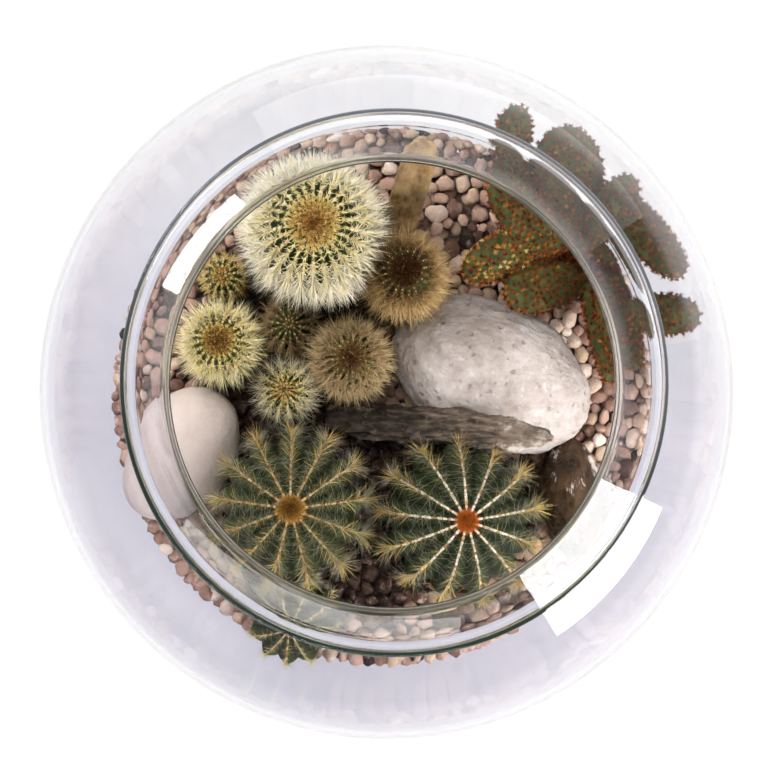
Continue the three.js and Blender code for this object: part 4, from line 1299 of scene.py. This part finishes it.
for name, cactus in cacti.items():
    cactusBody(name, cactus)
    if cactus["kind"] == "column":
        columnSpines(name, cactus)
    else:
        ribbedSpines(name, cactus)
    foot = axisShift(cactus, bed["footLevel"])
    standing.append((*foot, cactus["neck"] + 1, cactus["neck"] + 1, 0.0))
    plants.append((*foot, cactus["radius"] * 0.9))
print("cacti are grown")


# root, lean, foot and neck shape the stalk; footing is what gravel keeps off: x, y, radius
# gap is the distance between tufts, and lowest where they start; bump and knob are the height and reach of
# the swelling under each, tuft its number of bristles, hair their length and thick their radius
padCactus = {
    "node": "cactus_pads", "slot": "pad_cactus", "seed": 23,
    "root": (92, 62, 50), "lean": (-11, -8), "foot": 26, "neck": 5.5, "footing": (87, 58, 7), "voxel": 0.8,
    "gap": 2.35, "lowest": 50, "bump": 0.7, "knob": 1.25, "tuft": 20, "hair": 1.65, "thick": 0.22,
    "yellowAt": (48, 61, 93), "yellowReach": (24, 16, 12),
    "pads": [  # from, to, width, thickness, facing
        ((92, 62, 43), (91, 66, 94), 30, 10, (0.5, 0.8, 0)),
        ((88, 76, 78), (34, 54, 92), 26, 12, (0.2, -0.75, 0.6)),
        ((96, 54, 64), (53, 45, 86), 23, 9, (0.1, -0.3, 0.9)),
        ((84, 67, 82), (47, 100, 116), 33, 8, (0.5, -0.3, 0.8)),
        ((54, 95, 109), (54, 121, 135), 16, 7, (0.3, -0.6, 0.7)),
        ((87, 70, 88), (74, 113, 128), 30, 8, (0.1, -0.6, 0.75)),
        ((92, 66, 88), (106, 94, 116), 19, 8, (0.2, -0.7, 0.7)),
        ((99, 90, 108), (126, 49, 126), 23, 8, (0.35, 0.5, 0.8)),
        ((98, 62, 74), (108, 10, 98), 19, 9, (0.45, 0.3, 0.75)),
        ((92, 62, 60), (101, 5, 79), 18, 8, (0.9, 0.15, 0.3)),
        ((103, 36, 89), (139, 34, 103), 17.5, 8, (-0.2, -0.3, 0.9)),
    ],
}


def padShell(start, end, width, thick, facing, columns=56, rows=22):
    # a flattened egg, wider at its far end
    start, end = np.array(start, float), np.array(end, float)
    half = np.linalg.norm(end - start) / 2
    along = (end - start) / (2 * half)
    facing = np.array(facing, float)
    facing -= along * (facing @ along)
    facing /= np.linalg.norm(facing)
    across = np.cross(facing, along)
    middle = (start + end) / 2
    points = []
    for row in range(1, rows):
        rise = math.pi * row / rows - math.pi / 2
        reach = math.cos(rise) ** 0.72
        lift = math.copysign(abs(math.sin(rise)) ** 0.85, rise)
        for column in range(columns):
            angle = column / columns * 2 * math.pi
            s = math.cos(angle) * reach
            beside = math.sin(angle)
            points.append(middle + along * s * half + across * beside * reach * (1 + 0.22 * s) * width / 2
                          + facing * lift * thick / 2)
    points += [middle - facing * thick / 2, middle + facing * thick / 2]
    count = (rows - 1) * columns
    return points, gridFaces(rows - 1, columns, count, count + 1)


def padBody():
    # the pads and a stalk, fused into one skin
    points, faces = [], []
    for pad in padCactus["pads"]:
        shell, sides = padShell(*pad)
        faces += [tuple(index + len(points) for index in side) for side in sides]
        points += shell
    x, y, top = padCactus["root"]
    leanX, leanY = padCactus["lean"]
    foot, neck = padCactus["foot"], padCactus["neck"]
    columns, rows = 24, 12
    start = len(points)
    for row in range(rows):
        share = row / (rows - 1)
        z = foot + (top - foot) * share
        radius = neck * (0.55 + 0.45 * min(1, share * 2.5))
        for column in range(columns):
            angle = column / columns * 2 * math.pi
            points.append(np.array([x + leanX * (1 - share) + radius * math.cos(angle),
                                    y + leanY * (1 - share) + radius * math.sin(angle), z]))
    points += [np.array([x + leanX, y + leanY, foot - 0.3]), np.array([x, y, top + 0.5])]
    count = rows * columns
    faces += [tuple(index + start for index in side) for side in gridFaces(rows, columns, count, count + 1)]
    body = faceOut(addMesh("padCactus", points, faces, padSkin()))
    fuse = body.modifiers.new("fuse", "REMESH")
    fuse.mode, fuse.voxel_size, fuse.use_smooth_shade = "VOXEL", padCactus["voxel"] * mm, True
    soften = body.modifiers.new("soften", "SMOOTH")
    soften.factor, soften.iterations = 0.5, 4
    bakeModifiers(body)
    return body


def padSkin():
    finish = Finish("padSkin", Specular_IOR_Level=0.15)
    cloud = finish.grain(120, 4.0, 0.6)
    fine = finish.grain(1700, 2.0, 0.6)
    knob = finish.attribute("knob")
    colour = finish.ramp(cloud, [(0.3, (0.019, 0.026, 0.009)), (0.55, (0.046, 0.058, 0.018)),
                                 (0.75, (0.094, 0.1, 0.034))])
    colour = finish.blend(finish.level(knob, 0.25, 0.9) * 0.6, colour, (0.14, 0.045, 0.014))
    return finish.paint(colour, 0.55, [(fine, 0.00015)])


def glochidFinish():
    stops = [(0.0, (0.08, 0.016, 0.006)), (0.35, (0.26, 0.06, 0.015)), (0.6, (0.5, 0.18, 0.03)),
             (0.8, (0.68, 0.42, 0.08)), (1.0, (0.82, 0.66, 0.26))]
    return spineFinish("glochidCoat", stops, 0.5)


def spreadOut(points, gap, random):
    # a random choice of points that keep a gap between them, sought in cells of that size
    cells, chosen = {}, []
    around = [(dx, dy, dz) for dx in (-1, 0, 1) for dy in (-1, 0, 1) for dz in (-1, 0, 1)]
    for index in random.permutation(len(points)):
        spot = points[index]
        key = tuple((spot // gap).astype(int))
        near = [points[other] for dx, dy, dz in around
                for other in cells.get((key[0] + dx, key[1] + dy, key[2] + dz), ())]
        if all(((spot - other) ** 2).sum() > gap * gap for other in near):
            cells.setdefault(key, []).append(index)
            chosen.append(index)
    return np.array(chosen)


def addPadCactus():
    random = np.random.default_rng(padCactus["seed"])
    body = padBody()
    mesh = body.data
    points = np.empty(len(mesh.vertices) * 3)
    mesh.vertices.foreach_get("co", points)
    points = points.reshape(-1, 3) / mm
    normals = np.array([item.vector[:] for item in mesh.vertex_normals])
    above = np.where(points[:, 2] > padCactus["lowest"])[0]
    spots = above[spreadOut(points[above], padCactus["gap"], random)]
    tree = KDTree(len(spots))
    for index, spot in enumerate(spots):
        tree.insert(points[spot], index)
    tree.balance()
    near = np.array([tree.find(point)[2] for point in points])
    knob = np.exp(-(near / padCactus["knob"]) ** 2)
    moved = points + normals * (knob * padCactus["bump"] - 0.15)[:, None]
    mesh.vertices.foreach_set("co", (moved * mm).ravel())
    setValues(mesh, "knob", knob)
    mesh.update()
    ownPiece(body, padCactus["slot"], padCactus["node"])
    place, out = moved[spots], normals[spots]
    side = np.cross(out, [0.3, 0.5, 0.81])
    side /= np.linalg.norm(side, axis=1)[:, None]
    field = {"place": place, "out": out, "side": side, "down": np.cross(out, side),
             "share": np.zeros(len(spots))}
    # the pad nearest the middle of the bowl has yellower tufts towards its tip
    yellow = np.exp(-(((place - padCactus["yellowAt"]) / padCactus["yellowReach"]) ** 2).sum(1))
    shade = random.normal(0.22, 0.15, len(spots))
    shade = np.clip(shade + 0.55 * yellow * (random.uniform(0, 1, len(spots)) > 0.25), 0, 1)
    count = padCactus["tuft"]
    tufts = spinesOn(random, field, count, (15, 85), lambda s: np.full(len(s), padCactus["hair"]),
                     lambda s: s, jitter=0.2)
    shade = np.repeat(shade, count) + random.normal(0, 0.06, len(tufts["tone"]))
    tufts["tone"] = np.clip(shade, 0, 1)
    bristles = growNeedles("padCactusTufts", insideGlass(tufts, 0.4), glochidFinish(), padCactus["thick"])
    ownPiece(bristles, padCactus["slot"])
    x, y, radius = padCactus["footing"]
    standing.append((x, y, radius, radius, 0.0))
    print("pad cactus:", len(spots), "tufts,", len(mesh.polygons), "faces")


addPadCactus()
addBed()
print("bed is filled")
